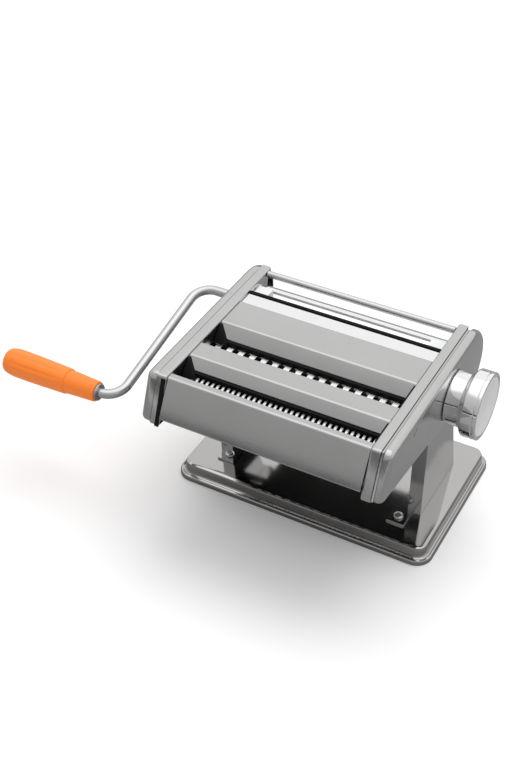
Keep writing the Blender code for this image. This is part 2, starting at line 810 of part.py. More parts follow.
def make_roller_gears():
    x0 = -(GEAR_INNER + ROLLER_GEAR_WIDTH)
    spacing = 2 * ROLLER_RADIUS + NIP_GAP
    fixed_bore = FIXED_JOURNAL + RUNNING
    adjustable_bore = ADJUSTABLE_JOURNAL + RUNNING
    fixed = (FIXED_ROLLER_Y, ROLLER_Z)
    adjustable = (ADJUSTABLE_ROLLER_Y, ROLLER_Z)
    return (
        make_gear("fixed_roller_gear", fixed, ROLLER_TEETH, spacing, fixed_bore, x0, -GEAR_INNER, True),
        make_gear(
            "adjustable_roller_gear", adjustable, ROLLER_TEETH, spacing, adjustable_bore, x0, -GEAR_INNER, False
        ),
    )


def cutter_profile(radius, count, shift, left, right):
    """Half section of a cutter roll with its rings; left and right are (end x, journal radius)."""
    half = INNER_FACE - 0.0008
    groove = radius - RING_HEIGHT
    pitch = CUTTER_LENGTH / count
    width = pitch / 2 - RING_SIDE_CLEARANCE
    profile = [(left[0], 0), (left[0], left[1]), (-half, left[1]), (-half, groove)]
    for number in range(count):
        start = -CUTTER_LENGTH / 2 + pitch * (number + shift) + RING_SIDE_CLEARANCE / 2
        profile += [(start, groove), (start, radius), (start + width, radius), (start + width, groove)]
    return profile + [(half, groove), (half, right[1]), (right[0], right[1]), (right[0], 0)]


def make_cutter_pair(name, radius, count, first_centre, gear_side, sides):
    """Two rolls whose rings run in each other's grooves, with a gear on each."""
    spacing = 2 * radius - RING_HEIGHT + RING_CLEARANCE
    gear_end = GEAR_INNER + CUTTER_GEAR_WIDTH + GAP
    pieces = []
    for number, place in enumerate(("rear", "front")):
        centre = (first_centre[0] - spacing * number, first_centre[1])
        left_journal = DRIVE_JOURNAL if number == 0 else CUTTER_JOURNAL
        left_end = gear_end if gear_side < 0 else PLATE_OUTER + GAP
        right_end = gear_end if gear_side > 0 else PLATE_OUTER + GAP
        profile = cutter_profile(
            radius, count, number / 2, (-left_end, left_journal), (right_end, CUTTER_JOURNAL)
        )
        if number == 0:
            # The rear roll ends at its rings, and a sleeve bored for the crank is its left journal.
            profile = [(profile[3][0], 0)] + profile[3:]
            sleeve_end = -(OUTER_FACE - COVER_WALL - 2 * GAP)
            sleeve = ring(sleeve_end, profile[0][0] - GAP, CRANK_RADIUS + RUNNING, left_journal, centre)
            pieces_here = [make_object(f"{name}_drive_sleeve", sleeve, satin())]
        else:
            pieces_here = []
        roll = make_object(f"{name}_cutter_{place}", turned(profile, centre, sides), chrome())
        bore = (left_journal if gear_side < 0 else CUTTER_JOURNAL) + RUNNING
        x0 = gear_side * GEAR_INNER
        x1 = gear_side * (GEAR_INNER + CUTTER_GEAR_WIDTH)
        gear = make_gear(
            f"{name}_gear_{place}", centre, CUTTER_TEETH, spacing, bore, x0, x1, number == 0
        )
        pieces.append((centre, [roll, gear] + pieces_here))
    return pieces


def make_hood(name, back_y, ridge_y, drop):
    """Bent cover over a roller pair: rear flange, flat top, 45 degree slope and a short flange."""
    foot_y = ridge_y - drop
    foot_z = HOOD_TOP - drop
    path = [
        (back_y, HOOD_TOP - HOOD_FLANGE),
        (back_y, HOOD_TOP),
        (ridge_y, HOOD_TOP),
        (foot_y, foot_z),
        (foot_y, foot_z - SLOPE_FLANGE),
    ]
    hood = prism(rounded(sheet_path(path, SHEET), {1: 0.0012}, 3), -BETWEEN_COVERS, BETWEEN_COVERS)
    return make_object(name, hood, satin())


def make_front_panel():
    """Leaning front sheet with a lip behind its top edge and a return at its foot."""
    path = [
        (LIP_BACK_Y, HOOD_TOP - 0.0020),
        (LIP_BACK_Y, HOOD_TOP),
        (LIP_FRONT_Y, HOOD_TOP),
        (PANEL_BOTTOM_Y, PANEL_BOTTOM_Z),
        (PANEL_BOTTOM_Y + PANEL_RETURN, PANEL_BOTTOM_Z),
    ]
    panel = prism(rounded(sheet_path(path, SHEET), {2: 0.0020}, 3), -BETWEEN_COVERS, BETWEEN_COVERS)
    make_object("front_panel", panel, satin())


def make_feed():
    """Polished plate that leads the dough into the nip, edged with a black lip."""
    front = REAR_HOOD_BACK_Y + GAP
    plate = box(-BETWEEN_COVERS, BETWEEN_COVERS, front, FEED_BACK_Y, FEED_Z - SHEET, FEED_Z)
    make_object("feed_plate", plate, chrome())
    lip_y = FEED_BACK_Y + GAP
    lip_z = HOOD_TOP - LIP_HEIGHT
    lip = box(-BETWEEN_COVERS, BETWEEN_COVERS, lip_y, lip_y + LIP_DEPTH, lip_z, HOOD_TOP)
    make_object("feed_lip", lip, black_plastic())


def guide_outline():
    """Fills the nip's upper wedge, a clearance away from both rollers."""
    reach = ROLLER_RADIUS + GUIDE_CLEARANCE
    nip_y = (FIXED_ROLLER_Y + ADJUSTABLE_ROLLER_Y) / 2
    top = ROLLER_Z + ROLLER_RADIUS * 0.94
    rear = []
    front = []
    count = 6
    low = ROLLER_Z + 0.0062
    for step in range(count + 1):
        z = low + (top - low) * step / count
        half = FIXED_ROLLER_Y - nip_y - math.sqrt(reach**2 - (z - ROLLER_Z) ** 2)
        rear.append((nip_y + half, z))
        front.append((nip_y - half, z))
    return rear + [(nip_y + 0.0100, GUIDE_TOP), (nip_y - 0.0060, GUIDE_TOP)] + front[::-1]


def make_feed_guides():
    for side in (-1, 1):
        outer = side * BETWEEN_COVERS
        guide = prism(guide_outline(), outer - side * GUIDE_LENGTH, outer)
        make_object(f"{side_name(side)}_feed_guide", guide, grey_plastic())


def make_cheek(name, side, ridge_y):
    """Black wedge on the inner cover that fills the corner at the end of a hood's slope."""
    outer = BETWEEN_COVERS
    width = LEFT_CHEEK_WIDTH if side < 0 else RIGHT_CHEEK_WIDTH
    section = [
        (outer, CHEEK_BOTTOM),
        (outer, CHEEK_TOP),
        (outer - CHEEK_TIP, CHEEK_TOP),
        (outer - width, CHEEK_BOTTOM),
    ]
    rear = [(x, ridge_y - (HOOD_TOP - z) - 2 * GAP, z) for x, z in section]
    front = [(x, y - CHEEK_DEPTH, z) for x, y, z in rear]
    make_object(name, mirrored(skinned([rear, front]), side), black_plastic())


def make_cheeks():
    for side in (-1, 1):
        name = side_name(side)
        make_cheek(f"{name}_wide_cheek", side, REAR_HOOD_RIDGE_Y)
        make_cheek(f"{name}_narrow_cheek", side, MIDDLE_HOOD_RIDGE_Y)


def make_tie_rods():
    rear = rod(-BETWEEN_COVERS, BETWEEN_COVERS, REAR_ROD_RADIUS, (REAR_ROD_Y, REAR_ROD_Z), 16)
    make_object("rear_tie_rod", rear, polished())
    front = rod(-BETWEEN_COVERS, BETWEEN_COVERS, FRONT_ROD_RADIUS, (FRONT_ROD_Y, FRONT_ROD_Z), 12)
    make_object("front_tie_rod", front, satin())


def make_blades():
    """Scrapers under the rollers and combs beside the cutter rolls."""
    top = ROLLER_Z - ROLLER_RADIUS - BLADE_CLEARANCE
    reach = BETWEEN_COVERS
    adjustable_y = ADJUSTABLE_ROLLER_Y - BLADE / 2
    scraper = box(-reach, reach, adjustable_y, adjustable_y + BLADE, top - SCRAPER_HEIGHT, top)
    make_object("adjustable_roller_scraper", scraper, satin())
    fixed_y = FIXED_ROLLER_Y - BLADE / 2
    wide = box(-BETWEEN_PLATES, BETWEEN_PLATES, fixed_y, fixed_y + BLADE, top - SCRAPER_HEIGHT, top)
    make_object("fixed_roller_scraper", wide, satin())
    rear_y = WIDE_REAR_Y + WIDE_RADIUS + BLADE_CLEARANCE
    rear = box(-reach, reach, rear_y, rear_y + BLADE, WIDE_Z - COMB_HEIGHT, WIDE_Z)
    make_object("rear_comb", rear, satin())
    between = (WIDE_REAR_Y - WIDE_SPACING - WIDE_RADIUS + NARROW_REAR_Y + NARROW_RADIUS) / 2
    middle = box(-reach, reach, between - BLADE / 2, between + BLADE / 2, WIDE_Z - COMB_HEIGHT, WIDE_Z)
    make_object("middle_comb", middle, satin())
    front_y = NARROW_REAR_Y - NARROW_SPACING - NARROW_RADIUS - BLADE_CLEARANCE
    front = box(-reach, reach, front_y - BLADE, front_y, NARROW_Z - FRONT_COMB_HEIGHT, NARROW_Z)
    make_object("front_comb", front, satin())


def cam_outline():
    """Spiral that grows by the roller's travel over the knob's turn, then falls back."""
    outline = []
    growing = 18
    falling = 6
    for step in range(growing):
        share = step / growing
        outline.append((math.radians(180 - CAM_TURN * share), CAM_RADIUS + NIP_TRAVEL * share))
    for step in range(falling):
        share = step / falling
        angle = 180 - CAM_TURN - (360 - CAM_TURN) * share
        outline.append((math.radians(angle), CAM_RADIUS + NIP_TRAVEL * (1 - share)))
    return [
        (ADJUSTABLE_ROLLER_Y + radius * math.cos(angle), ROLLER_Z + radius * math.sin(angle))
        for angle, radius in outline
    ]


def knob_start():
    return OUTER_FACE + GAP


def shaft_head_x():
    """Inner face of the shaft's head, which leaves the knob its travel under the cap."""
    return knob_start() + KNOB_WALL + SPRING_ROOM


def make_regulator():
    """Shaft with its cam, the knob that slides on it, the knob's cap and its spring."""
    centre = (ADJUSTABLE_ROLLER_Y, ROLLER_Z)
    head = shaft_head_x()
    profile = [
        (PLATE_INNER + GAP, 0),
        (PLATE_INNER + GAP, REGULATOR_RADIUS),
        (head, REGULATOR_RADIUS),
        (head, SHAFT_HEAD_RADIUS),
        (head + SHAFT_HEAD_THICKNESS, SHAFT_HEAD_RADIUS),
        (head + SHAFT_HEAD_THICKNESS, 0),
    ]
    shaft = make_object("regulator_shaft", turned(profile, centre, 16), satin())
    join(shaft, "regulator_cam", prism(cam_outline(), GEAR_INNER, GEAR_INNER + CAM_WIDTH))
    start = knob_start()
    end = start + KNOB_LENGTH
    bore = REGULATOR_RADIUS + RUNNING
    hollow = SHAFT_HEAD_RADIUS + KNOB_HOLLOW
    seat = end - KNOB_CAP_THICKNESS - GAP
    flare = start + KNOB_NECK_LENGTH
    profile = [
        (start, bore),
        (start, KNOB_NECK_RADIUS),
        (flare, KNOB_NECK_RADIUS),
        (flare + KNOB_FLARE_LENGTH * 0.4, KNOB_NECK_RADIUS + 0.0012),
        (flare + KNOB_FLARE_LENGTH * 0.8, KNOB_RADIUS - 0.0010),
        (flare + KNOB_FLARE_LENGTH, KNOB_RADIUS),
        (end - 0.0032, KNOB_RADIUS),
        (end - 0.0028, KNOB_RADIUS - 0.0005),
        (end - 0.0024, KNOB_RADIUS),
        (end - 0.0005, KNOB_RADIUS),
        (end, KNOB_RADIUS - 0.0005),
        (end, KNOB_RADIUS - 0.0025),
        (seat, KNOB_RADIUS - 0.0025),
        (seat, hollow),
        (start + KNOB_WALL, hollow),
        (start + KNOB_WALL, bore),
    ]
    knob = make_object("regulator_knob", turned(profile, centre, 28, closed=True), chrome())
    cap = rod(seat + GAP, end, KNOB_RADIUS - 0.0025 - GAP, centre, 32)
    knob_cap = make_object("knob_cap", cap, grey_plastic())
    spring = make_spring(start + KNOB_WALL + GAP, head - GAP, centre)
    return shaft, knob, knob_cap, spring


def make_curve(name, points, radius, resolution, finish):
    """A tube with filled ends along a row of points."""
    curve = bpy.data.curves.new(name, "CURVE")
    curve.dimensions = "3D"
    curve.bevel_depth = radius
    curve.bevel_resolution = resolution
    curve.use_fill_caps = True
    spline = curve.splines.new("POLY")
    spline.points.add(len(points) - 1)
    for place, point in zip(spline.points, points):
        place.co = (*point, 1.0)
    curve.materials.append(finish)
    made = bpy.data.objects.new(name, curve)
    bpy.context.scene.collection.objects.link(made)
    return made


def make_spring(x0, x1, centre):
    """Compression spring that holds the knob in against the cover."""
    first = x0 + SPRING_WIRE
    last = x1 - SPRING_WIRE
    steps = 8 * SPRING_TURNS
    points = []
    for step in range(steps + 1):
        angle = math.tau * step / 8
        x = first + (last - first) * step / steps
        y = centre[0] + SPRING_RADIUS * math.cos(angle)
        points.append((x, y, centre[1] + SPRING_RADIUS * math.sin(angle)))
    return make_curve("knob_spring", points, SPRING_WIRE, 1, satin())


def bent(points, radius, steps=6):
    """A 3-D path with its inner corners rounded."""
    result = [points[0]]
    for before, here, after in zip(points, points[1:], points[2:]):
        back = [(b - h) / math.dist(before, here) for b, h in zip(before, here)]
        ahead = [(a - h) / math.dist(after, here) for a, h in zip(after, here)]
        half = math.acos(sum(b * a for b, a in zip(back, ahead))) / 2
        middle = [b + a for b, a in zip(back, ahead)]
        size = math.hypot(*middle)
        centre = [h + m / size * radius / math.sin(half) for h, m in zip(here, middle)]
        tangent = radius / math.tan(half)
        start = [h + b * tangent - c for h, b, c in zip(here, back, centre)]
        end = [h + a * tangent - c for h, a, c in zip(here, ahead, centre)]
        sweep = math.pi - 2 * half
        for step in range(steps + 1):
            share = sweep * step / steps
            first = math.sin(sweep - share) / math.sin(sweep)
            second = math.sin(share) / math.sin(sweep)
            result.append(tuple(c + s * first + e * second for c, s, e in zip(centre, start, end)))
    return result + [points[-1]]


def make_crank():
    """Bent rod that lifts out of the roller, with its turning grip."""
    inner_end = -OUTER_FACE + CRANK_SOCKET_DEPTH - 4 * GAP
    route = [
        (inner_end, FIXED_ROLLER_Y, ROLLER_Z),
        (CRANK_ARM_X, FIXED_ROLLER_Y, ROLLER_Z),
        (CRANK_ARM_X, GRIP_Y, GRIP_Z),
        (GRIP_OUTER_X + GRIP_CAP_THICKNESS + 6 * GAP, GRIP_Y, GRIP_Z),
    ]
    arm = make_curve("crank_arm", bent(route, CRANK_BEND), CRANK_RADIUS, 3, polished())
    centre = (GRIP_Y, GRIP_Z)
    bore = CRANK_RADIUS + RUNNING
    seat = GRIP_OUTER_X + GRIP_CAP_THICKNESS + GAP
    profile = [
        (GRIP_INNER_X, bore),
        (GRIP_INNER_X, GRIP_SMALL_RADIUS - 0.0008),
        (GRIP_INNER_X - 0.0008, GRIP_SMALL_RADIUS),
        (GRIP_STEP_X, GRIP_STEP_RADIUS),
        (GRIP_STEP_X - 0.0005, GRIP_COLLAR_RADIUS),
        (GRIP_OUTER_X + 0.0120, GRIP_FULL_RADIUS),
        (GRIP_OUTER_X + 0.0040, GRIP_FULL_RADIUS - 0.0003),
        (GRIP_OUTER_X + 0.0012, GRIP_FULL_RADIUS - 0.0014),
        (GRIP_OUTER_X, GRIP_FULL_RADIUS - 0.0028),
        (GRIP_OUTER_X, GRIP_CAP_RADIUS + GAP),
        (seat, GRIP_CAP_RADIUS + GAP),
        (seat, bore),
    ]
    grip = make_object("crank_grip", turned(profile, centre, 24, closed=True), orange_plastic())
    cap = rod(GRIP_OUTER_X, GRIP_OUTER_X + GRIP_CAP_THICKNESS, GRIP_CAP_RADIUS, centre)
    grip_cap = make_object("grip_end_cap", cap, orange_plastic())
    washer_x = GRIP_INNER_X + GAP
    washer = ring(washer_x, washer_x + WASHER_THICKNESS, bore, WASHER_RADIUS, centre)
    grip_washer = make_object("grip_washer", washer, polished())
    return arm, grip, grip_cap, grip_washer


def carried(name, location, pieces, parent=None):
    """Hangs pieces on an empty that stands on their joint's axis."""
    empty = bpy.data.objects.new(name, None)
    empty.location = location
    empty.empty_display_size = 0.01
    bpy.context.scene.collection.objects.link(empty)
    bpy.context.view_layer.update()
    if parent:
        empty.parent = parent
        empty.matrix_parent_inverse = parent.matrix_world.inverted()
    for piece in pieces:
        piece.parent = empty
        piece.matrix_parent_inverse = empty.matrix_world.inverted()
    bpy.context.view_layer.update()
    return empty


def clear_scene():
    for old in list(bpy.data.objects):
        bpy.data.objects.remove(old)


def main():
    clear_scene()
    make_base()
    make_base_screws()
    for side in (-1, 1):
        make_side_plate(side)
        make_inner_cover(side)
        make_outer_cover(side)
    make_tie_rods()
    make_hood("rear_hood", REAR_HOOD_BACK_Y, REAR_HOOD_RIDGE_Y, REAR_SLOPE_DROP)
    make_hood("middle_hood", MIDDLE_HOOD_BACK_Y, MIDDLE_HOOD_RIDGE_Y, MIDDLE_SLOPE_DROP)
    make_front_panel()
    make_feed()
    make_feed_guides()
    make_cheeks()
    make_blades()
    make_bushes()

    fixed, adjustable = make_rollers()
    fixed_gear, adjustable_gear = make_roller_gears()
    arm, grip, grip_cap, washer = make_crank()
    roller_axis = (0, FIXED_ROLLER_Y, ROLLER_Z)
    turning = carried("fixed_roller_axis", roller_axis, [fixed, fixed_gear])
    crank = carried("crank_slide", roller_axis, [arm, washer], turning)
    carried("grip_axis", (0, GRIP_Y, GRIP_Z), [grip, grip_cap], crank)

    nip_axis = (0, ADJUSTABLE_ROLLER_Y, ROLLER_Z)
    carriage = carried("carriage_slide", nip_axis, [make_carriage()])
    carried("adjustable_roller_axis", nip_axis, [adjustable, adjustable_gear], carriage)
    shaft, knob, knob_cap, spring = make_regulator()
    regulator = carried("regulator_axis", nip_axis, [shaft, spring])
    carried("knob_slide", nip_axis, [knob, knob_cap], regulator)

    pairs = make_cutter_pair("wide", WIDE_RADIUS, WIDE_COUNT, (WIDE_REAR_Y, WIDE_Z), -1, 10)
    pairs += make_cutter_pair("narrow", NARROW_RADIUS, NARROW_COUNT, (NARROW_REAR_Y, NARROW_Z), 1, 6)
    names = ("wide_rear", "wide_front", "narrow_rear", "narrow_front")
    for name, (centre, pieces) in zip(names, pairs):
        carried(f"{name}_axis", (0, *centre), pieces)


main()
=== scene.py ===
import math

import bmesh
import bpy
from mathutils import Matrix, Vector


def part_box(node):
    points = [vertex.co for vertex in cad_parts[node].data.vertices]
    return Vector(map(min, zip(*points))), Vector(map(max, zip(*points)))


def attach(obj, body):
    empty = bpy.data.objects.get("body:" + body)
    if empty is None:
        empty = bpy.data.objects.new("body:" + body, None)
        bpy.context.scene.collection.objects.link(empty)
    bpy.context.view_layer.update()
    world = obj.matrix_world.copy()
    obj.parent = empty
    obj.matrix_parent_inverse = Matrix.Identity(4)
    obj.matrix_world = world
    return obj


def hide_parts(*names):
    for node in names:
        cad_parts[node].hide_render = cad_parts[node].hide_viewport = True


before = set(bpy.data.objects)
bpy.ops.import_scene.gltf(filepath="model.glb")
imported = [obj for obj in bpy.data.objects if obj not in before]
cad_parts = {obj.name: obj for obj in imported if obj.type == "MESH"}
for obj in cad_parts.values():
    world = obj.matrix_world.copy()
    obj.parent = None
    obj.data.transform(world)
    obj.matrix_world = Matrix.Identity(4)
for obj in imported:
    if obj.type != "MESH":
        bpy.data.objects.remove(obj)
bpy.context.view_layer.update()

# The camera stands where the photographer stood: in front, to the right and well above the
# machine, with a moderate telephoto lens.
CAMERA_PLACE = (0.3083, -0.6889, 0.6970)
CAMERA_YAW = 28.6
CAMERA_PITCH = 39.31
CAMERA_ROLL = -0.18
SENSOR = 36.0
LENS = 58.8

camera_data = bpy.data.cameras.new("camera")
camera_data.sensor_width = SENSOR
camera_data.lens = LENS
camera_data.clip_start = 0.02
camera = bpy.data.objects.new("camera", camera_data)
camera.matrix_world = (
    Matrix.Translation(CAMERA_PLACE)
    @ Matrix.Rotation(math.radians(CAMERA_YAW), 4, "Z")
    @ Matrix.Rotation(math.radians(90 - CAMERA_PITCH), 4, "X")
    @ Matrix.Rotation(math.radians(CAMERA_ROLL), 4, "Z")
)
bpy.context.scene.collection.objects.link(camera)
bpy.context.scene.camera = camera
bpy.context.scene.view_settings.view_transform = "Standard"

# The floor is one sheet of matt white paper on a table, laid just under the base.
FLOOR_SIZE = 6.0
FLOOR_Z = -0.0002
FLOOR_LEVEL = 0.92
PAPER_ROUGHNESS = 0.9
PAPER_SHINE = 0.1


def shader_material(name):
    """A node material and its Principled shader."""
    made = bpy.data.materials.new(name)
    made.use_nodes = True
    return made, made.node_tree.nodes["Principled BSDF"]


def link_object(name, mesh, material):
    """An object at the origin from a finished bmesh."""
    data = bpy.data.meshes.new(name)
    mesh.to_mesh(data)
    mesh.free()
    data.materials.append(material)
    made = bpy.data.objects.new(name, data)
    bpy.context.scene.collection.objects.link(made)
    return made


def matt_paper(name, level):
    """Matt paper of one grey level."""
    made, shader = shader_material(name)
    shader.inputs["Base Color"].default_value = (level, level, level, 1)
    shader.inputs["Roughness"].default_value = PAPER_ROUGHNESS
    shader.inputs["Specular IOR Level"].default_value = PAPER_SHINE
    return made


sheet = bmesh.new()
bmesh.ops.create_grid(sheet, x_segments=2, y_segments=2, size=FLOOR_SIZE / 2)
bmesh.ops.translate(sheet, vec=(0, 0, FLOOR_Z), verts=sheet.verts)
link_object("floor", sheet, matt_paper("floor_paper", FLOOR_LEVEL))

# Two cards are there for the reflections alone. A grey one on the paper stands for the room
# round a small paper sweep, and gives the polished faces their grey. A small black flag under
# the rollers keeps the tent's glare out of the base between the legs.
CARDS = (
    ("grey_card", 0.28, (-1.5, 1.5), (-1.5, 1.5), FLOOR_Z / 2),
    ("black_flag", 0.015, (-0.074, 0.074), (-0.035, 0.058), 0.085),
)

for name, level, across, along, z in CARDS:
    card_mesh = bmesh.new()
    bmesh.ops.create_grid(card_mesh, x_segments=2, y_segments=2, size=0.5)
    size = (across[1] - across[0], along[1] - along[0], 1)
    bmesh.ops.scale(card_mesh, vec=size, verts=card_mesh.verts)
    middle = (sum(across) / 2, sum(along) / 2, z)
    bmesh.ops.translate(card_mesh, vec=middle, verts=card_mesh.verts)
    card = link_object(name, card_mesh, matt_paper(f"{name}_paper", level))
    card.visible_camera = False
    card.visible_diffuse = False
    card.visible_shadow = False

# Soft light comes from a white tent with a dark gap along its foot. The tent is brighter
# behind the machine than in front of it. A large soft box hangs overhead and a smaller one
# stands to the right. Past the floor's edge the camera sees an even pale room, not the tent.
TENT_BY_HEIGHT = (
    (0.00, 0.03),
    (0.03, 0.05),
    (0.09, 0.72),
    (0.45, 0.74),
    (0.78, 0.80),
    (0.88, 1.35),
)
TENT_FRONT = 0.60
TENT_BACK = 1.40
BACKDROP_LEVEL = 0.93
CEILING_POWER = 10
RIGHT_BOX_POWER = 3
SOFT_BOX_AIM = Vector((0, 0, 0.1))

world = bpy.data.worlds.new("tent")
world.use_nodes = True
world_nodes = world.node_tree.nodes
world_links = world.node_tree.links
direction = world_nodes.new("ShaderNodeTexCoord")
parts = world_nodes.new("ShaderNodeSeparateXYZ")
height = world_nodes.new("ShaderNodeValToRGB")
depth = world_nodes.new("ShaderNodeMapRange")
depth.inputs["From Min"].default_value = -1
depth.inputs["To Min"].default_value = TENT_FRONT
depth.inputs["To Max"].default_value = TENT_BACK
stops = height.color_ramp.elements
while len(stops) < len(TENT_BY_HEIGHT):
    stops.new(1.0)
for stop, (place, level) in zip(stops, TENT_BY_HEIGHT):
    stop.position = place
    stop.color = (level, level, level, 1)
world_links.new(direction.outputs["Generated"], parts.inputs["Vector"])
world_links.new(parts.outputs["Z"], height.inputs["Fac"])
world_links.new(parts.outputs["Y"], depth.inputs["Value"])
world_links.new(height.outputs["Color"], world_nodes["Background"].inputs["Color"])
world_links.new(depth.outputs["Result"], world_nodes["Background"].inputs["Strength"])
backdrop = world_nodes.new("ShaderNodeBackground")
backdrop.inputs["Color"].default_value = (BACKDROP_LEVEL, BACKDROP_LEVEL, BACKDROP_LEVEL, 1)
rays = world_nodes.new("ShaderNodeLightPath")
chosen = world_nodes.new("ShaderNodeMixShader")
world_links.new(rays.outputs["Is Camera Ray"], chosen.inputs[0])
world_links.new(world_nodes["Background"].outputs["Background"], chosen.inputs[1])
world_links.new(backdrop.outputs["Background"], chosen.inputs[2])
world_links.new(chosen.outputs["Shader"], world_nodes["World Output"].inputs["Surface"])
bpy.context.scene.world = world


def soft_box(name, place, width, depth, power):
    """A rectangular lamp that points at the machine and isn't mirrored in it."""
    data = bpy.data.lights.new(name, "AREA")
    data.shape = "RECTANGLE"
    data.size = width
    data.size_y = depth
    data.energy = power
    made = bpy.data.objects.new(name, data)
    made.location = place
    made.rotation_euler = (SOFT_BOX_AIM - Vector(place)).to_track_quat("-Z", "Y").to_euler()
    made.visible_glossy = False
    bpy.context.scene.collection.objects.link(made)


soft_box("ceiling", (0.10, 0.35, 1.6), 1.3, 0.9, CEILING_POWER)
soft_box("right_box", (1.6, 0.2, 0.9), 0.7, 0.7, RIGHT_BOX_POWER)

# Base: a tray stamped from stainless sheet and polished, with a rim that stands on the table,
# a narrow ledge and a raised flat top.
BASE_CORNER = 0.0130
BASE_RIM = 0.0042
BASE_LEDGE = 0.0040
BASE_SHEET = 0.0010
CLOUD_SCALE = 22
CLOUD_LOW = 0.3
CLOUD_HIGH = 0.7
DARK_TINT = 0.95
BRUSH_SCALE = 900
BRUSH_STRETCH = 0.02
BRUSH_DEPTH = 0.00005
SHARP_ANGLE = 35
MERGE_DISTANCE = 1e-6


def noise_on(material, scale, stretch, detail=4.0):
    """A noise on Object coordinates, drawn out where stretch is small."""
    nodes = material.node_tree.nodes
    links = material.node_tree.links
    coordinates = nodes.new("ShaderNodeTexCoord")
    mapping = nodes.new("ShaderNodeMapping")
    mapping.inputs["Scale"].default_value = stretch
    noise = nodes.new("ShaderNodeTexNoise")
    noise.inputs["Scale"].default_value = scale
    noise.inputs["Detail"].default_value = detail
    links.new(coordinates.outputs["Object"], mapping.inputs["Vector"])
    links.new(mapping.outputs["Vector"], noise.inputs["Vector"])
    return noise


def relief(material, shader, noise, strength, distance):
    """Fine relief from a noise."""
    nodes = material.node_tree.nodes
    links = material.node_tree.links
    bump = nodes.new("ShaderNodeBump")
    bump.inputs["Strength"].default_value = strength
    bump.inputs["Distance"].default_value = distance
    links.new(noise.outputs["Fac"], bump.inputs["Height"])
    links.new(bump.outputs["Normal"], shader.inputs["Normal"])


def metal(name, colour, roughness, brushing=None):
    """Bare metal whose tint and roughness wander; brushing draws fine lines along X."""
    made, shader = shader_material(name)
    nodes = made.node_tree.nodes
    links = made.node_tree.links
    shader.inputs["Metallic"].default_value = 1.0
    cloud = noise_on(made, CLOUD_SCALE, (1, 1, 1))
    spread = nodes.new("ShaderNodeMapRange")
    spread.inputs["From Min"].default_value = CLOUD_LOW
    spread.inputs["From Max"].default_value = CLOUD_HIGH
    spread.inputs["To Min"].default_value = roughness[0]
    spread.inputs["To Max"].default_value = roughness[1]
    links.new(cloud.outputs["Fac"], spread.inputs["Value"])
    links.new(spread.outputs["Result"], shader.inputs["Roughness"])
    tint = nodes.new("ShaderNodeValToRGB")
    dark, bright = tint.color_ramp.elements
    dark.position = CLOUD_LOW
    dark.color = (*[channel * DARK_TINT for channel in colour], 1)
    bright.position = CLOUD_HIGH
    bright.color = (*colour, 1)
    links.new(cloud.outputs["Fac"], tint.inputs["Fac"])
    links.new(tint.outputs["Color"], shader.inputs["Base Color"])
    if brushing:
        lines = noise_on(made, BRUSH_SCALE, (BRUSH_STRETCH, 1, 1), 2.0)
        relief(made, shader, lines, brushing, BRUSH_DEPTH)
    return made


polished_steel = metal("polished_steel", (0.50, 0.49, 0.48), (0.06, 0.12))


def piece(name, mesh, material, slot, body, *nodes):
    """Finishes a mesh as a piece that rides on a body and stands for the CAD nodes named."""
    made = link_object(name, mesh, material)
    made.data.shade_smooth()
    made.data.set_sharp_from_angle(angle=math.radians(SHARP_ANGLE))
    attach(made, body)
    if nodes:
        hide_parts(*nodes)
    return made


def tidy(mesh):
    """Merges doubles and points the faces outwards."""
    bmesh.ops.remove_doubles(mesh, verts=mesh.verts, dist=MERGE_DISTANCE)
    bmesh.ops.recalc_face_normals(mesh, faces=mesh.faces)
    return mesh


def rounded_ring(mesh, length, depth, radius, z):
    """Edges of a rounded rectangle at one height."""
    corners = [(length / 2, depth / 2), (-length / 2, depth / 2)]
    corners += [(-x, -y) for x, y in corners]
    verts = [mesh.verts.new((x, y, z)) for x, y in corners]
    mesh.faces.new(verts)
    bmesh.ops.bevel(
        mesh,
        geom=verts,
        offset=radius,
        segments=10,
        profile=0.5,
        affect="VERTICES",
        material=-1,
    )
    edges = list({found for face in mesh.faces for found in face.edges})
    bmesh.ops.delete(mesh, geom=mesh.faces[:], context="FACES_ONLY")
    return edges


low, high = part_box("base_plate")
base_top = high[2]
base_steps = [
    (0.0, 0.0),
    (0.0, BASE_RIM - 0.0018),
    (0.0002, BASE_RIM - 0.0008),
    (0.0008, BASE_RIM - 0.0001),
    (0.0016, BASE_RIM + 0.0001),
    (BASE_LEDGE - 0.0012, BASE_RIM - 0.0004),
    (BASE_LEDGE - 0.0003, BASE_RIM + 0.0001),
    (BASE_LEDGE, BASE_RIM + 0.0010),
    (BASE_LEDGE + 0.0004, base_top - 0.0040),
    (BASE_LEDGE + 0.0007, base_top - 0.0018),
    (BASE_LEDGE + 0.0013, base_top - 0.0006),
    (BASE_LEDGE + 0.0023, base_top - 0.0001),
    (BASE_LEDGE + 0.0036, base_top),
]
tray = bmesh.new()
rings = []
for inward, z in base_steps:
    ring_length = high[0] - low[0] - 2 * inward
    ring_depth = high[1] - low[1] - 2 * inward
    rings.append(rounded_ring(tray, ring_length, ring_depth, BASE_CORNER - inward, z))
for first, second in zip(rings, rings[1:]):
    bmesh.ops.bridge_loops(tray, edges=first + second)
bmesh.ops.contextual_create(tray, geom=rings[-1])
tidy(tray)
bmesh.ops.solidify(tray, geom=tray.faces[:], thickness=BASE_SHEET)
piece("base_tray", tray, polished_steel, "polished_steel", "frame", "base_plate")

# Pad: a sheet of black rubber pressed into the rim, which keeps the base from sliding. It is
# glued under the tray and is seen from below only.
RUBBER_COLOUR = (0.025, 0.025, 0.025)
RUBBER_GRAIN = 900


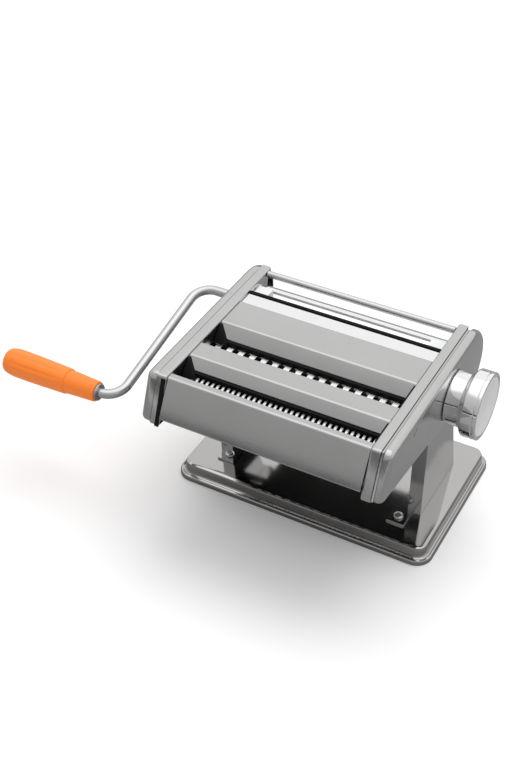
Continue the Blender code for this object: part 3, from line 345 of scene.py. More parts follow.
def even_finish(name, colour, roughness, grain, strength, distance):
    """A finish of one colour with a fine grain, and its shader."""
    made, shader = shader_material(name)
    shader.inputs["Base Color"].default_value = (*colour, 1)
    shader.inputs["Roughness"].default_value = roughness
    relief(made, shader, noise_on(made, grain, (1, 1, 1)), strength, distance)
    return made, shader


def dress(material, *nodes):
    """Gives CAD nodes their finish."""
    for node in nodes:
        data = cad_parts[node].data
        data.materials.clear()
        data.materials.append(material)


rubber, _ = even_finish("black_rubber", RUBBER_COLOUR, 0.85, RUBBER_GRAIN, 0.3, 0.0002)
dress(rubber, "base_pad")

# Foot screws: four pan head steel screws that hold the feet of the side plates down. The
# heads are turned, with a cross recess pressed in.
SCREW_HEAD = 0.0020
SCREW_SHANK = 0.0017
SCREW_FLAT = 0.45
SCREW_SKIRT = 0.25
SCREW_STEPS = 6
CROSS_LENGTH = 0.0042
CROSS_WIDTH = 0.0009
CROSS_DEPTH = 0.0010
CROSS_TURN = 0.5

satin_steel = metal("satin_steel", (0.52, 0.52, 0.51), (0.24, 0.32), brushing=0.10)

for number in range(1, 5):
    low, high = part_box(f"base_screw_{number}")
    middle = Vector(((low[0] + high[0]) / 2, (low[1] + high[1]) / 2, 0))
    head_radius = (high[0] - low[0]) / 2
    seat = high[2] - SCREW_HEAD
    screw = bmesh.new()
    profile = [(0, high[2])]
    for step in range(SCREW_STEPS + 1):
        angle = math.radians(90 * step / SCREW_STEPS)
        radius = head_radius * (SCREW_FLAT + (1 - SCREW_FLAT) * math.sin(angle))
        rise = SCREW_SKIRT + (1 - SCREW_SKIRT) * math.cos(angle)
        profile.append((radius, seat + SCREW_HEAD * rise))
    profile += [(head_radius, seat), (SCREW_SHANK, seat), (SCREW_SHANK, low[2]), (0, low[2])]
    verts = [screw.verts.new((radius, 0, z)) for radius, z in profile]
    edges = [screw.edges.new(pair) for pair in zip(verts, verts[1:])]
    bmesh.ops.spin(
        screw, geom=verts + edges, cent=(0, 0, 0), axis=(0, 0, 1), angle=math.tau, steps=32, use_merge=True
    )
    bmesh.ops.translate(screw, vec=middle, verts=screw.verts)
    node = f"base_screw_{number}"
    made = piece(f"foot_screw_{number}", tidy(screw), satin_steel, "satin_steel", "frame", node)
    cross = bmesh.new()
    for length, width in ((CROSS_LENGTH, CROSS_WIDTH), (CROSS_WIDTH, CROSS_LENGTH)):
        bar = bmesh.ops.create_cube(cross, size=1)["verts"]
        bmesh.ops.scale(cross, vec=(length, width, 2 * CROSS_DEPTH), verts=bar)
    turn = Matrix.Rotation(CROSS_TURN * number, 3, "Z")
    bmesh.ops.rotate(cross, cent=(0, 0, 0), matrix=turn, verts=cross.verts)
    bmesh.ops.translate(cross, vec=middle + Vector((0, 0, high[2])), verts=cross.verts)
    cutter = link_object("cross_cutter", cross, satin_steel)
    recess = made.modifiers.new("recess", "BOOLEAN")
    recess.object = cutter
    recess.solver = "EXACT"
    recess.use_self = True
    bpy.context.view_layer.update()
    evaluated = made.evaluated_get(bpy.context.evaluated_depsgraph_get())
    carved = bpy.data.meshes.new_from_object(evaluated)
    made.modifiers.clear()
    made.data = carved
    bpy.data.objects.remove(cutter)

# Side plates: two thick steel plates that carry every bush and run down into the legs. The
# leg's front edge is folded into a flange, and its foot is folded inwards and screwed down.
leg_steel = metal("leg_steel", (0.52, 0.52, 0.52), (0.08, 0.14))
dress(leg_steel, "left_side_plate", "right_side_plate")

# Outer covers: pressed stainless shells over the gears, with rounded edges and a humped rear
# end. The left one has three holes for the crank, the right one a hole for the knob's shaft
# and a small slanted slot.
COVER_TOP = 0.1462
COVER_FRONT = ((-0.1300, 0.1110), (-0.1165, COVER_TOP))
HUMP_Y = 0.0270
HUMP_RADIUS = 0.0290
HUMP_LAST_ANGLE = -122
HUMP_STEPS = 40
COVER_WALL = 0.0010
RIGHT_OPEN_X = 0.0873
LEFT_OPEN_X = -0.0852
OUTER_FACE = 0.0936
COVER_EDGE = 0.0046
ROLLER_Z = 0.1180
FIXED_ROLLER_Y = 0.0245
ADJUSTABLE_ROLLER_Y = -0.0085
WIDE_REAR_Y = -0.0533
WIDE_Z = 0.1220
WIDE_SPACING = 0.01835
NARROW_REAR_Y = -0.0937
NARROW_Z = 0.1243
NARROW_SPACING = 0.01635
CRANK_HOLE = 0.00465
SETTING_SLOT = ((-0.0762, 0.1392), (-0.0816, 0.1360), (-0.0811, 0.1353), (-0.0757, 0.1385))
SHAFT_HOLE = 0.0043
ON_PLANE = 1e-7


def in_plane(found, axis, value):
    """Whether an edge or a face lies in a plane across an axis."""
    return all(abs(vert.co[axis] - value) < ON_PLANE for vert in found.verts)


def draw_out(mesh, drawn, offset):
    """Moves the far verts of a fresh extrusion."""
    far = [found for found in drawn["geom"] if isinstance(found, bmesh.types.BMVert)]
    bmesh.ops.translate(mesh, vec=offset, verts=far)


def round_edges(mesh, edges, offset, segments, clamp=False):
    """Rounds edges off."""
    bmesh.ops.bevel(
        mesh,
        geom=edges,
        offset=offset,
        segments=segments,
        profile=0.5,
        affect="EDGES",
        clamp_overlap=clamp,
        material=-1,
    )


def pressed_cover(outline, open_x, face_x, edge, holes, windows):
    """A shell pressed over an outline in the side view, with rounded edges and punched holes."""
    mesh = bmesh.new()
    side = mesh.faces.new([mesh.verts.new((open_x, y, z)) for y, z in outline])
    drawn = bmesh.ops.extrude_face_region(mesh, geom=[side])
    draw_out(mesh, drawn, (face_x - open_x, 0, 0))
    near = [found for found in mesh.faces if in_plane(found, 0, open_x)]
    bmesh.ops.delete(mesh, geom=near, context="FACES_ONLY")
    rounded = [found for found in mesh.edges if in_plane(found, 0, face_x)]
    for y, z in COVER_FRONT:
        rounded += [found for found in mesh.edges if in_plane(found, 1, y) and in_plane(found, 2, z)]
    round_edges(mesh, rounded, edge, 7, clamp=True)
    tidy(mesh)
    face = max(mesh.faces, key=lambda found: found.calc_area())
    border = list(face.edges)
    bmesh.ops.delete(mesh, geom=[face], context="FACES_ONLY")
    turn = Matrix.Rotation(math.radians(90), 4, "Y")
    for y, z, radius in holes:
        place = Matrix.Translation((face_x, y, z)) @ turn
        circle = bmesh.ops.create_circle(mesh, segments=32, radius=radius, matrix=place)["verts"]
        border += {found for vert in circle for found in vert.link_edges}
    for window in windows:
        corners = [mesh.verts.new((face_x, y, z)) for y, z in window]
        border += [mesh.edges.new(pair) for pair in zip(corners, corners[1:] + corners[:1])]
    bmesh.ops.triangle_fill(mesh, use_beauty=True, edges=border)
    tidy(mesh)
    bmesh.ops.solidify(mesh, geom=mesh.faces[:], thickness=COVER_WALL)
    return mesh


hump = [*COVER_FRONT]
for step in range(HUMP_STEPS + 1):
    angle = math.radians(90 + (HUMP_LAST_ANGLE - 90) * step / HUMP_STEPS)
    hump_z = COVER_TOP - HUMP_RADIUS + HUMP_RADIUS * math.sin(angle)
    hump.append((HUMP_Y + HUMP_RADIUS * math.cos(angle), hump_z))
drive_holes = [
    (FIXED_ROLLER_Y, ROLLER_Z, CRANK_HOLE),
    (WIDE_REAR_Y, WIDE_Z, CRANK_HOLE),
    (NARROW_REAR_Y, NARROW_Z, CRANK_HOLE),
]
shaft_holes = [(ADJUSTABLE_ROLLER_Y, ROLLER_Z, SHAFT_HOLE)]
cover_steel = metal("cover_steel", (0.58, 0.58, 0.575), (0.14, 0.20))
for name, open_x, face_x, holes, slots in (
    ("left_outer_cover", LEFT_OPEN_X, -OUTER_FACE, drive_holes, []),
    ("right_outer_cover", RIGHT_OPEN_X, OUTER_FACE, shaft_holes, [SETTING_SLOT]),
):
    shell = pressed_cover(hump, open_x, face_x, COVER_EDGE, holes, slots)
    piece(f"{name}_shell", shell, cover_steel, "polished_steel", "frame", name)

# Inner covers: shallow pressed shells that face each other across the rollers. Each has holes
# for the cutter journals, a window for the carriage and a strip along the top that runs on
# to the rear rod.
INNER_FACE = 0.0775
INNER_RIM = 0.0849
INNER_EDGE = 0.0016
STRIP_BOTTOM = COVER_TOP - 0.0064
STRIP_REAR_Y = 0.0380
NOTCH_Y = 0.0250
INNER_SLANT = 0.59
LOWER_SLOPE = -0.130
CARRIAGE_WINDOW = ((-0.0333, 0.1092), (-0.0007, 0.1092), (-0.0007, 0.1268), (-0.0333, 0.1268))
PIN_HOLE = (0.0113, 0.1423, 0.0008)
JOURNAL_HOLE = 0.0039
DRIVE_HOLE = 0.0061


def lower_edge(y):
    """Height of the sloping lower edge of the covers."""
    front_y, front_z = COVER_FRONT[0]
    return front_z + LOWER_SLOPE * (y - front_y)


slant_y = NOTCH_Y - INNER_SLANT * (STRIP_BOTTOM - lower_edge(0))
inner_outline = [
    *COVER_FRONT,
    (STRIP_REAR_Y, COVER_TOP),
    (STRIP_REAR_Y, STRIP_BOTTOM),
    (NOTCH_Y, STRIP_BOTTOM),
    (slant_y, lower_edge(slant_y)),
]
for name, side in (("left_inner_cover", -1), ("right_inner_cover", 1)):
    face_x = side * INNER_FACE
    open_x = side * INNER_RIM
    rear_hole = DRIVE_HOLE if side < 0 else JOURNAL_HOLE
    journals = [
        (WIDE_REAR_Y, WIDE_Z, rear_hole),
        (WIDE_REAR_Y - WIDE_SPACING, WIDE_Z, JOURNAL_HOLE),
        (NARROW_REAR_Y, NARROW_Z, rear_hole),
        (NARROW_REAR_Y - NARROW_SPACING, NARROW_Z, JOURNAL_HOLE),
        PIN_HOLE,
    ]
    shell = pressed_cover(inner_outline, open_x, face_x, INNER_EDGE, journals, [CARRIAGE_WINDOW])
    piece(f"{name}_shell", shell, cover_steel, "polished_steel", "frame", name)

# Sheeting rollers: ground steel rollers with chrome faces. The fixed one is bored at its left
# end for the crank; the other rides in the carriage.
ROLLER_RADIUS = 0.0163
ROLLER_HALF = 0.0767
ROLLER_CHAMFER = 0.0006
FIXED_JOURNAL = 0.0062
ADJUSTABLE_JOURNAL = 0.0050
SOCKET_RADIUS = 0.00405
SOCKET_DEPTH = 0.0129

chrome = metal("chrome", (0.90, 0.90, 0.90), (0.03, 0.06))


def spun(profile, centre, steps):
    """Spins an (x, radius) profile round the line along X through centre, given as (y, z)."""
    mesh = bmesh.new()
    y, z = centre
    verts = [mesh.verts.new((x, y, z + radius)) for x, radius in profile]
    edges = [mesh.edges.new(pair) for pair in zip(verts, verts[1:])]
    bmesh.ops.spin(
        mesh, geom=verts + edges, cent=(0, y, z), axis=(1, 0, 0), angle=math.tau, steps=steps, use_merge=True
    )
    return tidy(mesh)


def roller_section(left, right, journal, socket):
    """Half section of a plain roller with two journals, bored at its left end for a socket."""
    start = [(left, 0)]
    if socket:
        start = [(left + SOCKET_DEPTH, 0), (left + SOCKET_DEPTH, SOCKET_RADIUS), (left, SOCKET_RADIUS)]
    return start + [
        (left, journal),
        (-ROLLER_HALF, journal),
        (-ROLLER_HALF, ROLLER_RADIUS - ROLLER_CHAMFER),
        (-ROLLER_HALF + ROLLER_CHAMFER, ROLLER_RADIUS),
        (ROLLER_HALF - ROLLER_CHAMFER, ROLLER_RADIUS),
        (ROLLER_HALF, ROLLER_RADIUS - ROLLER_CHAMFER),
        (ROLLER_HALF, journal),
        (right, journal),
        (right, 0),
    ]


low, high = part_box("fixed_roller")
section = roller_section(low[0], high[0], FIXED_JOURNAL, True)
roller = spun(section, (FIXED_ROLLER_Y, ROLLER_Z), 96)
piece("fixed_roller_turned", roller, chrome, "chrome", "fixed_roller", "fixed_roller")
low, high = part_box("adjustable_roller")
section = roller_section(low[0], high[0], ADJUSTABLE_JOURNAL, False)
roller = spun(section, (ADJUSTABLE_ROLLER_Y, ROLLER_Z), 96)
piece("adjustable_roller_turned", roller, chrome, "chrome", "adjustable_roller", "adjustable_roller")

# Cutter rolls: steel rolls turned into rings. The rings of each pair run in the grooves of
# the other, and shear the sheet into strips. The grooves are painted near black as painted
# shade; the rings in sight on the rear rolls are painted near white as painted light, and the
# front rolls' rings near black as painted shade.
CUTTER_LENGTH = 0.1500
RING_HEIGHT = 0.0020
RING_SIDE = 0.00025
CUTTER_JOURNAL = 0.0036

# Painted shade for the grooves, near black.
groove_painted_shade = metal("groove_painted_shade", (0.014, 0.014, 0.014), (0.30, 0.40))
# Painted shade for the front rolls' rings, near black; painted light for the rear rolls' rings, near white
# and barely metallic.
front_ring_painted_shade = metal("front_ring_painted_shade", (0.022, 0.022, 0.022), (0.20, 0.28))
rear_ring_painted_light, rear_ring_painted_light_shader = even_finish(
    "rear_ring_painted_light", (0.95, 0.95, 0.94), 0.35, 900, 0.10, 0.00005
)
rear_ring_painted_light_shader.inputs["Metallic"].default_value = 0.15


def cutter_section(node, radius, count, shift, rear):
    """Half section of a cutter roll, ring by ring."""
    low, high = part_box(node)
    groove = radius - RING_HEIGHT
    pitch = CUTTER_LENGTH / count
    width = pitch / 2 - RING_SIDE
    section = [(low[0], 0)]
    if not rear:
        section += [(low[0], CUTTER_JOURNAL), (-ROLLER_HALF, CUTTER_JOURNAL)]
    section.append((-ROLLER_HALF, groove))
    for number in range(count):
        start = -CUTTER_LENGTH / 2 + pitch * (number + shift) + RING_SIDE / 2
        section += [(start, groove), (start, radius), (start + width, radius), (start + width, groove)]
    section += [(ROLLER_HALF, groove), (ROLLER_HALF, CUTTER_JOURNAL), (high[0], CUTTER_JOURNAL), (high[0], 0)]
    return section


for kind, radius, count, rear_y, z, spacing in (
    ("wide", 0.0100, 16, WIDE_REAR_Y, WIDE_Z, WIDE_SPACING),
    ("narrow", 0.0090, 36, NARROW_REAR_Y, NARROW_Z, NARROW_SPACING),
):
    for place, number in (("rear", 0), ("front", 1)):
        node = f"{kind}_cutter_{place}"
        y = rear_y - spacing * number
        section = cutter_section(node, radius, count, number / 2, place == "rear")
        roll = spun(section, (y, z), 40)
        # Ring tops take the second material: painted light on the rear rolls, painted shade on the front
        # rolls.
        for face in roll.faces:
            centre = face.calc_center_median()
            away = math.hypot(centre.y - y, centre.z - z)
            face.material_index = int(away > radius - RING_HEIGHT / 4)
        made = piece(f"{node}_turned", roll, groove_painted_shade, "chrome", f"{kind}_{place}_roll", node)
        made.data.materials.append(front_ring_painted_shade if number else rear_ring_painted_light)

# Drive sleeves: short steel tubes pressed on the rear cutter rolls, bored to take the crank.
# The long bushes of the fixed roller are turned from brass.
dress(satin_steel, "wide_drive_sleeve", "narrow_drive_sleeve")
brass = metal("brass", (0.78, 0.60, 0.30), (0.18, 0.26))
dress(brass, "left_roller_bush", "right_roller_bush")

# Gears: spur gears cut from steel blanks and keyed to the journals, one pair for the rollers
# and one for each cutter. They keep a film of grease.
gear_steel = metal("gear_steel", (0.34, 0.33, 0.31), (0.28, 0.40), brushing=0.1)
dress(gear_steel, "fixed_roller_gear", "adjustable_roller_gear")
dress(gear_steel, "wide_gear_rear", "wide_gear_front", "narrow_gear_rear", "narrow_gear_front")

# Hoods and front panel: stainless sheet folded along the rollers' length, which slips between
# the inner covers. Hoods end in a 45 degree slope down to the cutters.
HOOD_SHEET = 0.0010
HOOD_REACH = 0.0772
HOOD_TOP = 0.1448
HOOD_FLANGE = 0.0045
REAR_SLOPE_DROP = 0.0085
MIDDLE_SLOPE_DROP = 0.0073
SLOPE_FLANGE = 0.0018
HOOD_BEND = 0.0010
REAR_HOOD_BACK_Y = -0.0110
REAR_RIDGE_Y = -0.0395
MIDDLE_HOOD_BACK_Y = -0.0686
MIDDLE_RIDGE_Y = -0.0845
PANEL_BACK_Y = -0.1087
PANEL_TOP_Y = -0.1149
PANEL_FOOT = (-0.1299, 0.1169)
PANEL_TURN_UP = 0.0020
PANEL_TURN_IN = 0.0050
PANEL_BEND = 0.0016

hood_steel = metal("hood_steel", (0.54, 0.54, 0.535), (0.15, 0.20), brushing=0.015)


def folded_sheet(path, bend):
    """Sheet folded along a (y, z) path that runs from rear to front over its outside."""
    mesh = bmesh.new()
    verts = [mesh.verts.new((-HOOD_REACH, y, z)) for y, z in path]
    edges = [mesh.edges.new(pair) for pair in zip(verts, verts[1:])]
    draw_out(mesh, bmesh.ops.extrude_edge_only(mesh, edges=edges), (2 * HOOD_REACH, 0, 0))
    folds = [found for found in mesh.edges if len(found.link_faces) == 2]
    round_edges(mesh, folds, bend, 5, clamp=True)
    bmesh.ops.recalc_face_normals(mesh, faces=mesh.faces)
    top = max(mesh.faces, key=lambda found: found.calc_center_median().z)
    if top.normal.z < 0:
        bmesh.ops.reverse_faces(mesh, faces=mesh.faces)
    bmesh.ops.solidify(mesh, geom=mesh.faces[:], thickness=HOOD_SHEET)
    return mesh


def hood_path(back_y, ridge_y, drop):
    """Path of a hood: a flange, the flat top, the slope and a short flange at its foot."""
    foot_y = ridge_y - drop
    foot_z = HOOD_TOP - drop
    return [
        (back_y, HOOD_TOP - HOOD_FLANGE),
        (back_y, HOOD_TOP),
        (ridge_y, HOOD_TOP),
        (foot_y, foot_z),
        (foot_y, foot_z - SLOPE_FLANGE),
    ]


for node, back_y, ridge_y, drop in (
    ("rear_hood", REAR_HOOD_BACK_Y, REAR_RIDGE_Y, REAR_SLOPE_DROP),
    ("middle_hood", MIDDLE_HOOD_BACK_Y, MIDDLE_RIDGE_Y, MIDDLE_SLOPE_DROP),
):
    sheet = folded_sheet(hood_path(back_y, ridge_y, drop), HOOD_BEND)
    piece(f"{node}_sheet", sheet, hood_steel, "satin_steel", "frame", node)
foot_y, foot_z = PANEL_FOOT
front_path = [
    (PANEL_BACK_Y, HOOD_TOP - PANEL_TURN_UP),
    (PANEL_BACK_Y, HOOD_TOP),
    (PANEL_TOP_Y, HOOD_TOP),
    (foot_y, foot_z),
    (foot_y + PANEL_TURN_IN, foot_z),
]
sheet = folded_sheet(front_path, PANEL_BEND)
piece("front_panel_sheet", sheet, hood_steel, "satin_steel", "frame", "front_panel")

# Feed: a chrome plate leads the dough into the nip, edged by a black plastic lip, between two
# grey plastic guides.
LIP_BACK_Y = 0.0051
LIP_FRONT_Y = 0.0021
LIP_HEIGHT = 0.0034
LIP_EDGE = 0.0006

# Black plastic for the lip; the same black is painted shade on the shade bars, the left gap strip and the
# wider part of the left cheeks.
black_plastic, black_plastic_and_shade_shader = even_finish("black_plastic", (0.008, 0.008, 0.008), 0.60, 1500, 0.15, 0.0001)
black_plastic_and_shade_shader.inputs["Specular IOR Level"].default_value = 0.10
grey_plastic, _ = even_finish("grey_plastic", (0.72, 0.73, 0.74), 0.42, 1500, 0.15, 0.0001)
dress(chrome, "feed_plate")
dress(grey_plastic, "left_feed_guide", "right_feed_guide")


def long_bar(back_y, front_y, low_z, high_z, edge, segments):
    """A bar as long as the hoods, with its long edges rounded."""
    mesh = bmesh.new()
    bmesh.ops.create_cube(mesh, size=1)
    bmesh.ops.scale(mesh, vec=(2 * HOOD_REACH, back_y - front_y, high_z - low_z), verts=mesh.verts)
    bmesh.ops.translate(mesh, vec=(0, (back_y + front_y) / 2, (low_z + high_z) / 2), verts=mesh.verts)
    long_edges = [found for found in mesh.edges if found.calc_length() > HOOD_REACH]
    round_edges(mesh, long_edges, edge, segments)
    return tidy(mesh)


lip = long_bar(LIP_BACK_Y, LIP_FRONT_Y, HOOD_TOP - LIP_HEIGHT, HOOD_TOP, LIP_EDGE, 4)
piece("feed_lip_moulding", lip, black_plastic, "black_plastic", "frame", "feed_lip")

# Cheeks: black plastic wedges clipped to the inner covers, which fill the corner at each end
# of a hood's slope. The left ones are the wider, and their black there is partly painted shade.
CHEEK_TOP = 0.1439
CHEEK_BOTTOM = 0.1345
LEFT_CHEEK_AND_SHADE_WIDTH = 0.0110
RIGHT_CHEEK_WIDTH = 0.0050
CHEEK_TIP = 0.0012
CHEEK_DEPTH = 0.0030
CHEEK_GAP = 0.0004
CHEEK_EDGE = 0.0003


def cheek(ridge_y, side, width):
    """A wedge that widens downwards and leans with the slope behind it."""
    section = [
        (HOOD_REACH, CHEEK_BOTTOM),
        (HOOD_REACH, CHEEK_TOP),
        (HOOD_REACH - CHEEK_TIP, CHEEK_TOP),
        (HOOD_REACH - width, CHEEK_BOTTOM),
    ]
    mesh = bmesh.new()
    verts = []
    for x, z in section:
        slope_y = ridge_y - (HOOD_TOP - z)
        verts.append(mesh.verts.new((side * x, slope_y - CHEEK_GAP, z)))
    drawn = bmesh.ops.extrude_face_region(mesh, geom=[mesh.faces.new(verts)])
    draw_out(mesh, drawn, (0, -CHEEK_DEPTH, 0))
    tidy(mesh)
    round_edges(mesh, mesh.edges[:], CHEEK_EDGE, 2)
    return tidy(mesh)


for kind, ridge_y in (("wide", REAR_RIDGE_Y), ("narrow", MIDDLE_RIDGE_Y)):
    for side_name, side, width in (("left", -1, LEFT_CHEEK_AND_SHADE_WIDTH), ("right", 1, RIGHT_CHEEK_WIDTH)):
        node = f"{side_name}_{kind}_cheek"
        wedge = cheek(ridge_y, side, width)
        piece(f"{node}_moulding", wedge, black_plastic, "black_plastic", "frame", node)

# Shade bars: black strips along the flange at the foot of each slope, close above the rear
# rings, which paint the shade behind the rear rings.
SHADE_BAR_EDGE = 0.0003

for kind, back_y, front_y, low_z, high_z in (
    ("wide", -0.0483, -0.0504, 0.1322, 0.1361),
    ("narrow", -0.0921, -0.0941, 0.1341, 0.1373),
):
    shade_bar = long_bar(back_y, front_y, low_z, high_z, SHADE_BAR_EDGE, 3)
    piece(f"{kind}_painted_shade_bar", shade_bar, black_plastic, "black_plastic", "frame")

# Left gap shade: a black strip over the front edge of the left inner cover, where the front
# panel meets it, which paints the shade in that gap. Its foot runs on past the cover's corner.
SHADE_STRIP_X = (-0.0812, -0.0778)
SHADE_STRIP_PROUD = 0.0004
SHADE_STRIP_THICK = 0.0010
SHADE_STRIP_HOOK = 0.0004
SHADE_STRIP_TOP_GAP = 0.0022
SHADE_STRIP_EDGE = 0.0002

(front_y, front_z), (top_y, top_z) = COVER_FRONT
leaning = Vector((0, top_y - front_y, top_z - front_z)).normalized()
outwards = Vector((0, -leaning.z, leaning.y))
low_end = Vector((SHADE_STRIP_X[0], front_y, front_z)) - leaning * SHADE_STRIP_HOOK
high_end = Vector((SHADE_STRIP_X[0], top_y, top_z)) - leaning * SHADE_STRIP_TOP_GAP
shade_strip = bmesh.new()
corners = []
for end in (low_end, high_end):
    for away in (SHADE_STRIP_PROUD, SHADE_STRIP_PROUD - SHADE_STRIP_THICK):
        corners.append(shade_strip.verts.new(end + outwards * away))
strip = shade_strip.faces.new([corners[0], corners[1], corners[3], corners[2]])
draw_out(shade_strip, bmesh.ops.extrude_face_region(shade_strip, geom=[strip]), (SHADE_STRIP_X[1] - SHADE_STRIP_X[0], 0, 0))
tidy(shade_strip)
round_edges(shade_strip, shade_strip.edges[:], SHADE_STRIP_EDGE, 2)
piece("left_gap_shade_strip", tidy(shade_strip), black_plastic, "black_plastic", "frame")

# Tie rods: steel rods riveted between the inner covers, the rear one in plain sight behind
# the rollers.
ROD_EDGE = 0.0004
REAR_ROD_RADIUS = 0.00275
REAR_ROD_PLACE = (0.0320, 0.1434)
FRONT_ROD_RADIUS = 0.0030
FRONT_ROD_PLACE = (-0.0825, 0.1340)

rod_steel = metal("rod_steel", (0.66, 0.66, 0.67), (0.18, 0.24))


def tie_rod(radius, place, steps):
    """A rod between the inner covers, chamfered at both ends."""
    section = [
        (-HOOD_REACH, 0),
        (-HOOD_REACH, radius - ROD_EDGE),
        (-HOOD_REACH + ROD_EDGE, radius),
        (HOOD_REACH - ROD_EDGE, radius),
        (HOOD_REACH, radius - ROD_EDGE),
        (HOOD_REACH, 0),
    ]
    return spun(section, place, steps)


rod = tie_rod(REAR_ROD_RADIUS, REAR_ROD_PLACE, 40)
piece("rear_rod", rod, rod_steel, "polished_steel", "frame", "rear_tie_rod")
rod = tie_rod(FRONT_ROD_RADIUS, FRONT_ROD_PLACE, 32)
piece("front_rod", rod, satin_steel, "satin_steel", "frame", "front_tie_rod")

# Scrapers and combs: blacked spring steel strips riveted under the covers, which keep the
# dough off the rollers and cutter rolls.
blacked_steel = metal("blacked_steel", (0.06, 0.06, 0.06), (0.30, 0.40))
dress(blacked_steel, "adjustable_roller_scraper", "fixed_roller_scraper")
dress(blacked_steel, "rear_comb", "middle_comb", "front_comb")

# Carriage: a folded steel yoke that carries the adjustable roller. The knob's cam pushes it
# forwards to open the nip.
dress(satin_steel, "adjustable_carriage", "regulator_shaft", "knob_spring")

# Thickness knob: a chromed turned knob with a narrow neck, a flare, a bead line near its end
# and a pale grey end cap. It is pulled out against its spring, then turned.
KNOB_CENTRE = (ADJUSTABLE_ROLLER_Y, ROLLER_Z)
KNOB_START = 0.0939
KNOB_END = 0.1200
KNOB_BORE = 0.0043
KNOB_NECK = 0.0203
KNOB_RADIUS = 0.0253
KNOB_FLARE_X = KNOB_START + 0.0105
KNOB_FLARE = 0.0050
KNOB_SEAT = 0.0025
KNOB_WALL = 0.0030
KNOB_HOLLOW = 0.0130
KNOB_EDGE = 0.0008
KNOB_FLARE_STEPS = 12
KNOB_EDGE_STEPS = 4
KNOB_BEAD_X = KNOB_END - 0.0032
CAP_SEAT_X = KNOB_END - 0.0015
CAP_GAP = 0.0003

knob_profile = [
    (KNOB_START, KNOB_BORE),
    (KNOB_START, KNOB_NECK - KNOB_EDGE),
    (KNOB_START + KNOB_EDGE, KNOB_NECK),
    (KNOB_FLARE_X, KNOB_NECK),
]
for step in range(1, KNOB_FLARE_STEPS + 1):
    share = step / KNOB_FLARE_STEPS
    rise = (1 - math.cos(math.pi * share)) / 2
    flare_radius = KNOB_NECK + (KNOB_RADIUS - KNOB_NECK) * rise
    knob_profile.append((KNOB_FLARE_X + KNOB_FLARE * share, flare_radius))
knob_profile += [
    (KNOB_BEAD_X - 0.0003, KNOB_RADIUS),
    (KNOB_BEAD_X, KNOB_RADIUS - 0.0004),
    (KNOB_BEAD_X + 0.0004, KNOB_RADIUS - 0.0006),
    (KNOB_BEAD_X + 0.0008, KNOB_RADIUS - 0.0004),
    (KNOB_BEAD_X + 0.0011, KNOB_RADIUS),
]
for step in range(KNOB_EDGE_STEPS + 1):
    angle = math.radians(90 * step / KNOB_EDGE_STEPS)
    edge_x = KNOB_END - KNOB_EDGE * (1 - math.sin(angle))
    knob_profile.append((edge_x, KNOB_RADIUS - KNOB_EDGE * (1 - math.cos(angle))))
knob_profile += [
    (KNOB_END, KNOB_RADIUS - KNOB_SEAT),
    (CAP_SEAT_X, KNOB_RADIUS - KNOB_SEAT),
    (CAP_SEAT_X, KNOB_HOLLOW),
    (KNOB_START + KNOB_WALL, KNOB_HOLLOW),
    (KNOB_START + KNOB_WALL, KNOB_BORE),
    (KNOB_START, KNOB_BORE),
]
knob = spun(knob_profile, KNOB_CENTRE, 96)
piece("knob_shell", knob, chrome, "chrome", "regulator_knob", "regulator_knob")
cap_radius = KNOB_RADIUS - KNOB_SEAT - CAP_GAP
cap_profile = [
    (CAP_SEAT_X + CAP_GAP, 0),
    (CAP_SEAT_X + CAP_GAP, cap_radius),
    (KNOB_END - 0.0004, cap_radius),
    (KNOB_END - 0.0001, cap_radius - 0.0005),
    (KNOB_END - 0.0001, cap_radius - 0.0020),
    (KNOB_END - 0.0003, cap_radius - 0.0024),
    (KNOB_END - 0.0003, 0),
]
cap_plastic, _ = even_finish("cap_plastic", (0.58, 0.58, 0.59), 0.40, 1200, 0.12, 0.0001)
cap = spun(cap_profile, KNOB_CENTRE, 96)
piece("knob_end_cap", cap, cap_plastic, "grey_plastic", "regulator_knob", "knob_cap")

# Crank: a steel rod bent twice and nickel plated, which lifts out of the roller. Its end is
# riveted over inside the grip.
CRANK_RADIUS = 0.00375
CRANK_BEND = 0.0150
BEND_STEPS = 16
CRANK_ROUTE = [
    (-0.0803, FIXED_ROLLER_Y, ROLLER_Z),
    (-0.1345, FIXED_ROLLER_Y, ROLLER_Z),
    (-0.1345, -0.0985, 0.0909),
    (-0.2312, -0.0985, 0.0909),
]


def bent_tube(route, bend, radius, sides):
    """A round bar along a route whose corners are bent to a radius."""
    line = [Vector(route[0])]
    for before, here, after in zip(route, route[1:], route[2:]):
        here = Vector(here)
        back = (Vector(before) - here).normalized()
        ahead = (Vector(after) - here).normalized()
        half = back.angle(ahead) / 2
        centre = here + (back + ahead).normalized() * bend / math.sin(half)
        first = here + back * bend / math.tan(half) - centre
        axis = back.cross(ahead)
        sweep = -(math.pi - 2 * half)
        for step in range(BEND_STEPS + 1):
            line.append(centre + Matrix.Rotation(sweep * step / BEND_STEPS, 3, axis) @ first)
    line.append(Vector(route[-1]))
    mesh = bmesh.new()
    rings = []
    for number, point in enumerate(line):
        before = line[max(number - 1, 0)]
        after = line[min(number + 1, len(line) - 1)]
        turn = (after - before).to_track_quat("Z", "Y").to_matrix().to_4x4()
        place = Matrix.Translation(point) @ turn
        ring = bmesh.ops.create_circle(mesh, segments=sides, radius=radius, matrix=place)["verts"]
        rings.append(list({found for vert in ring for found in vert.link_edges}))
    for first, second in zip(rings, rings[1:]):
        bmesh.ops.bridge_loops(mesh, edges=first + second)
    bmesh.ops.contextual_create(mesh, geom=rings[0])
    bmesh.ops.contextual_create(mesh, geom=rings[-1])
    return tidy(mesh)


arm = bent_tube(CRANK_ROUTE, CRANK_BEND, CRANK_RADIUS, 28)
piece("crank_rod", arm, rod_steel, "polished_steel", "crank", "crank_arm")

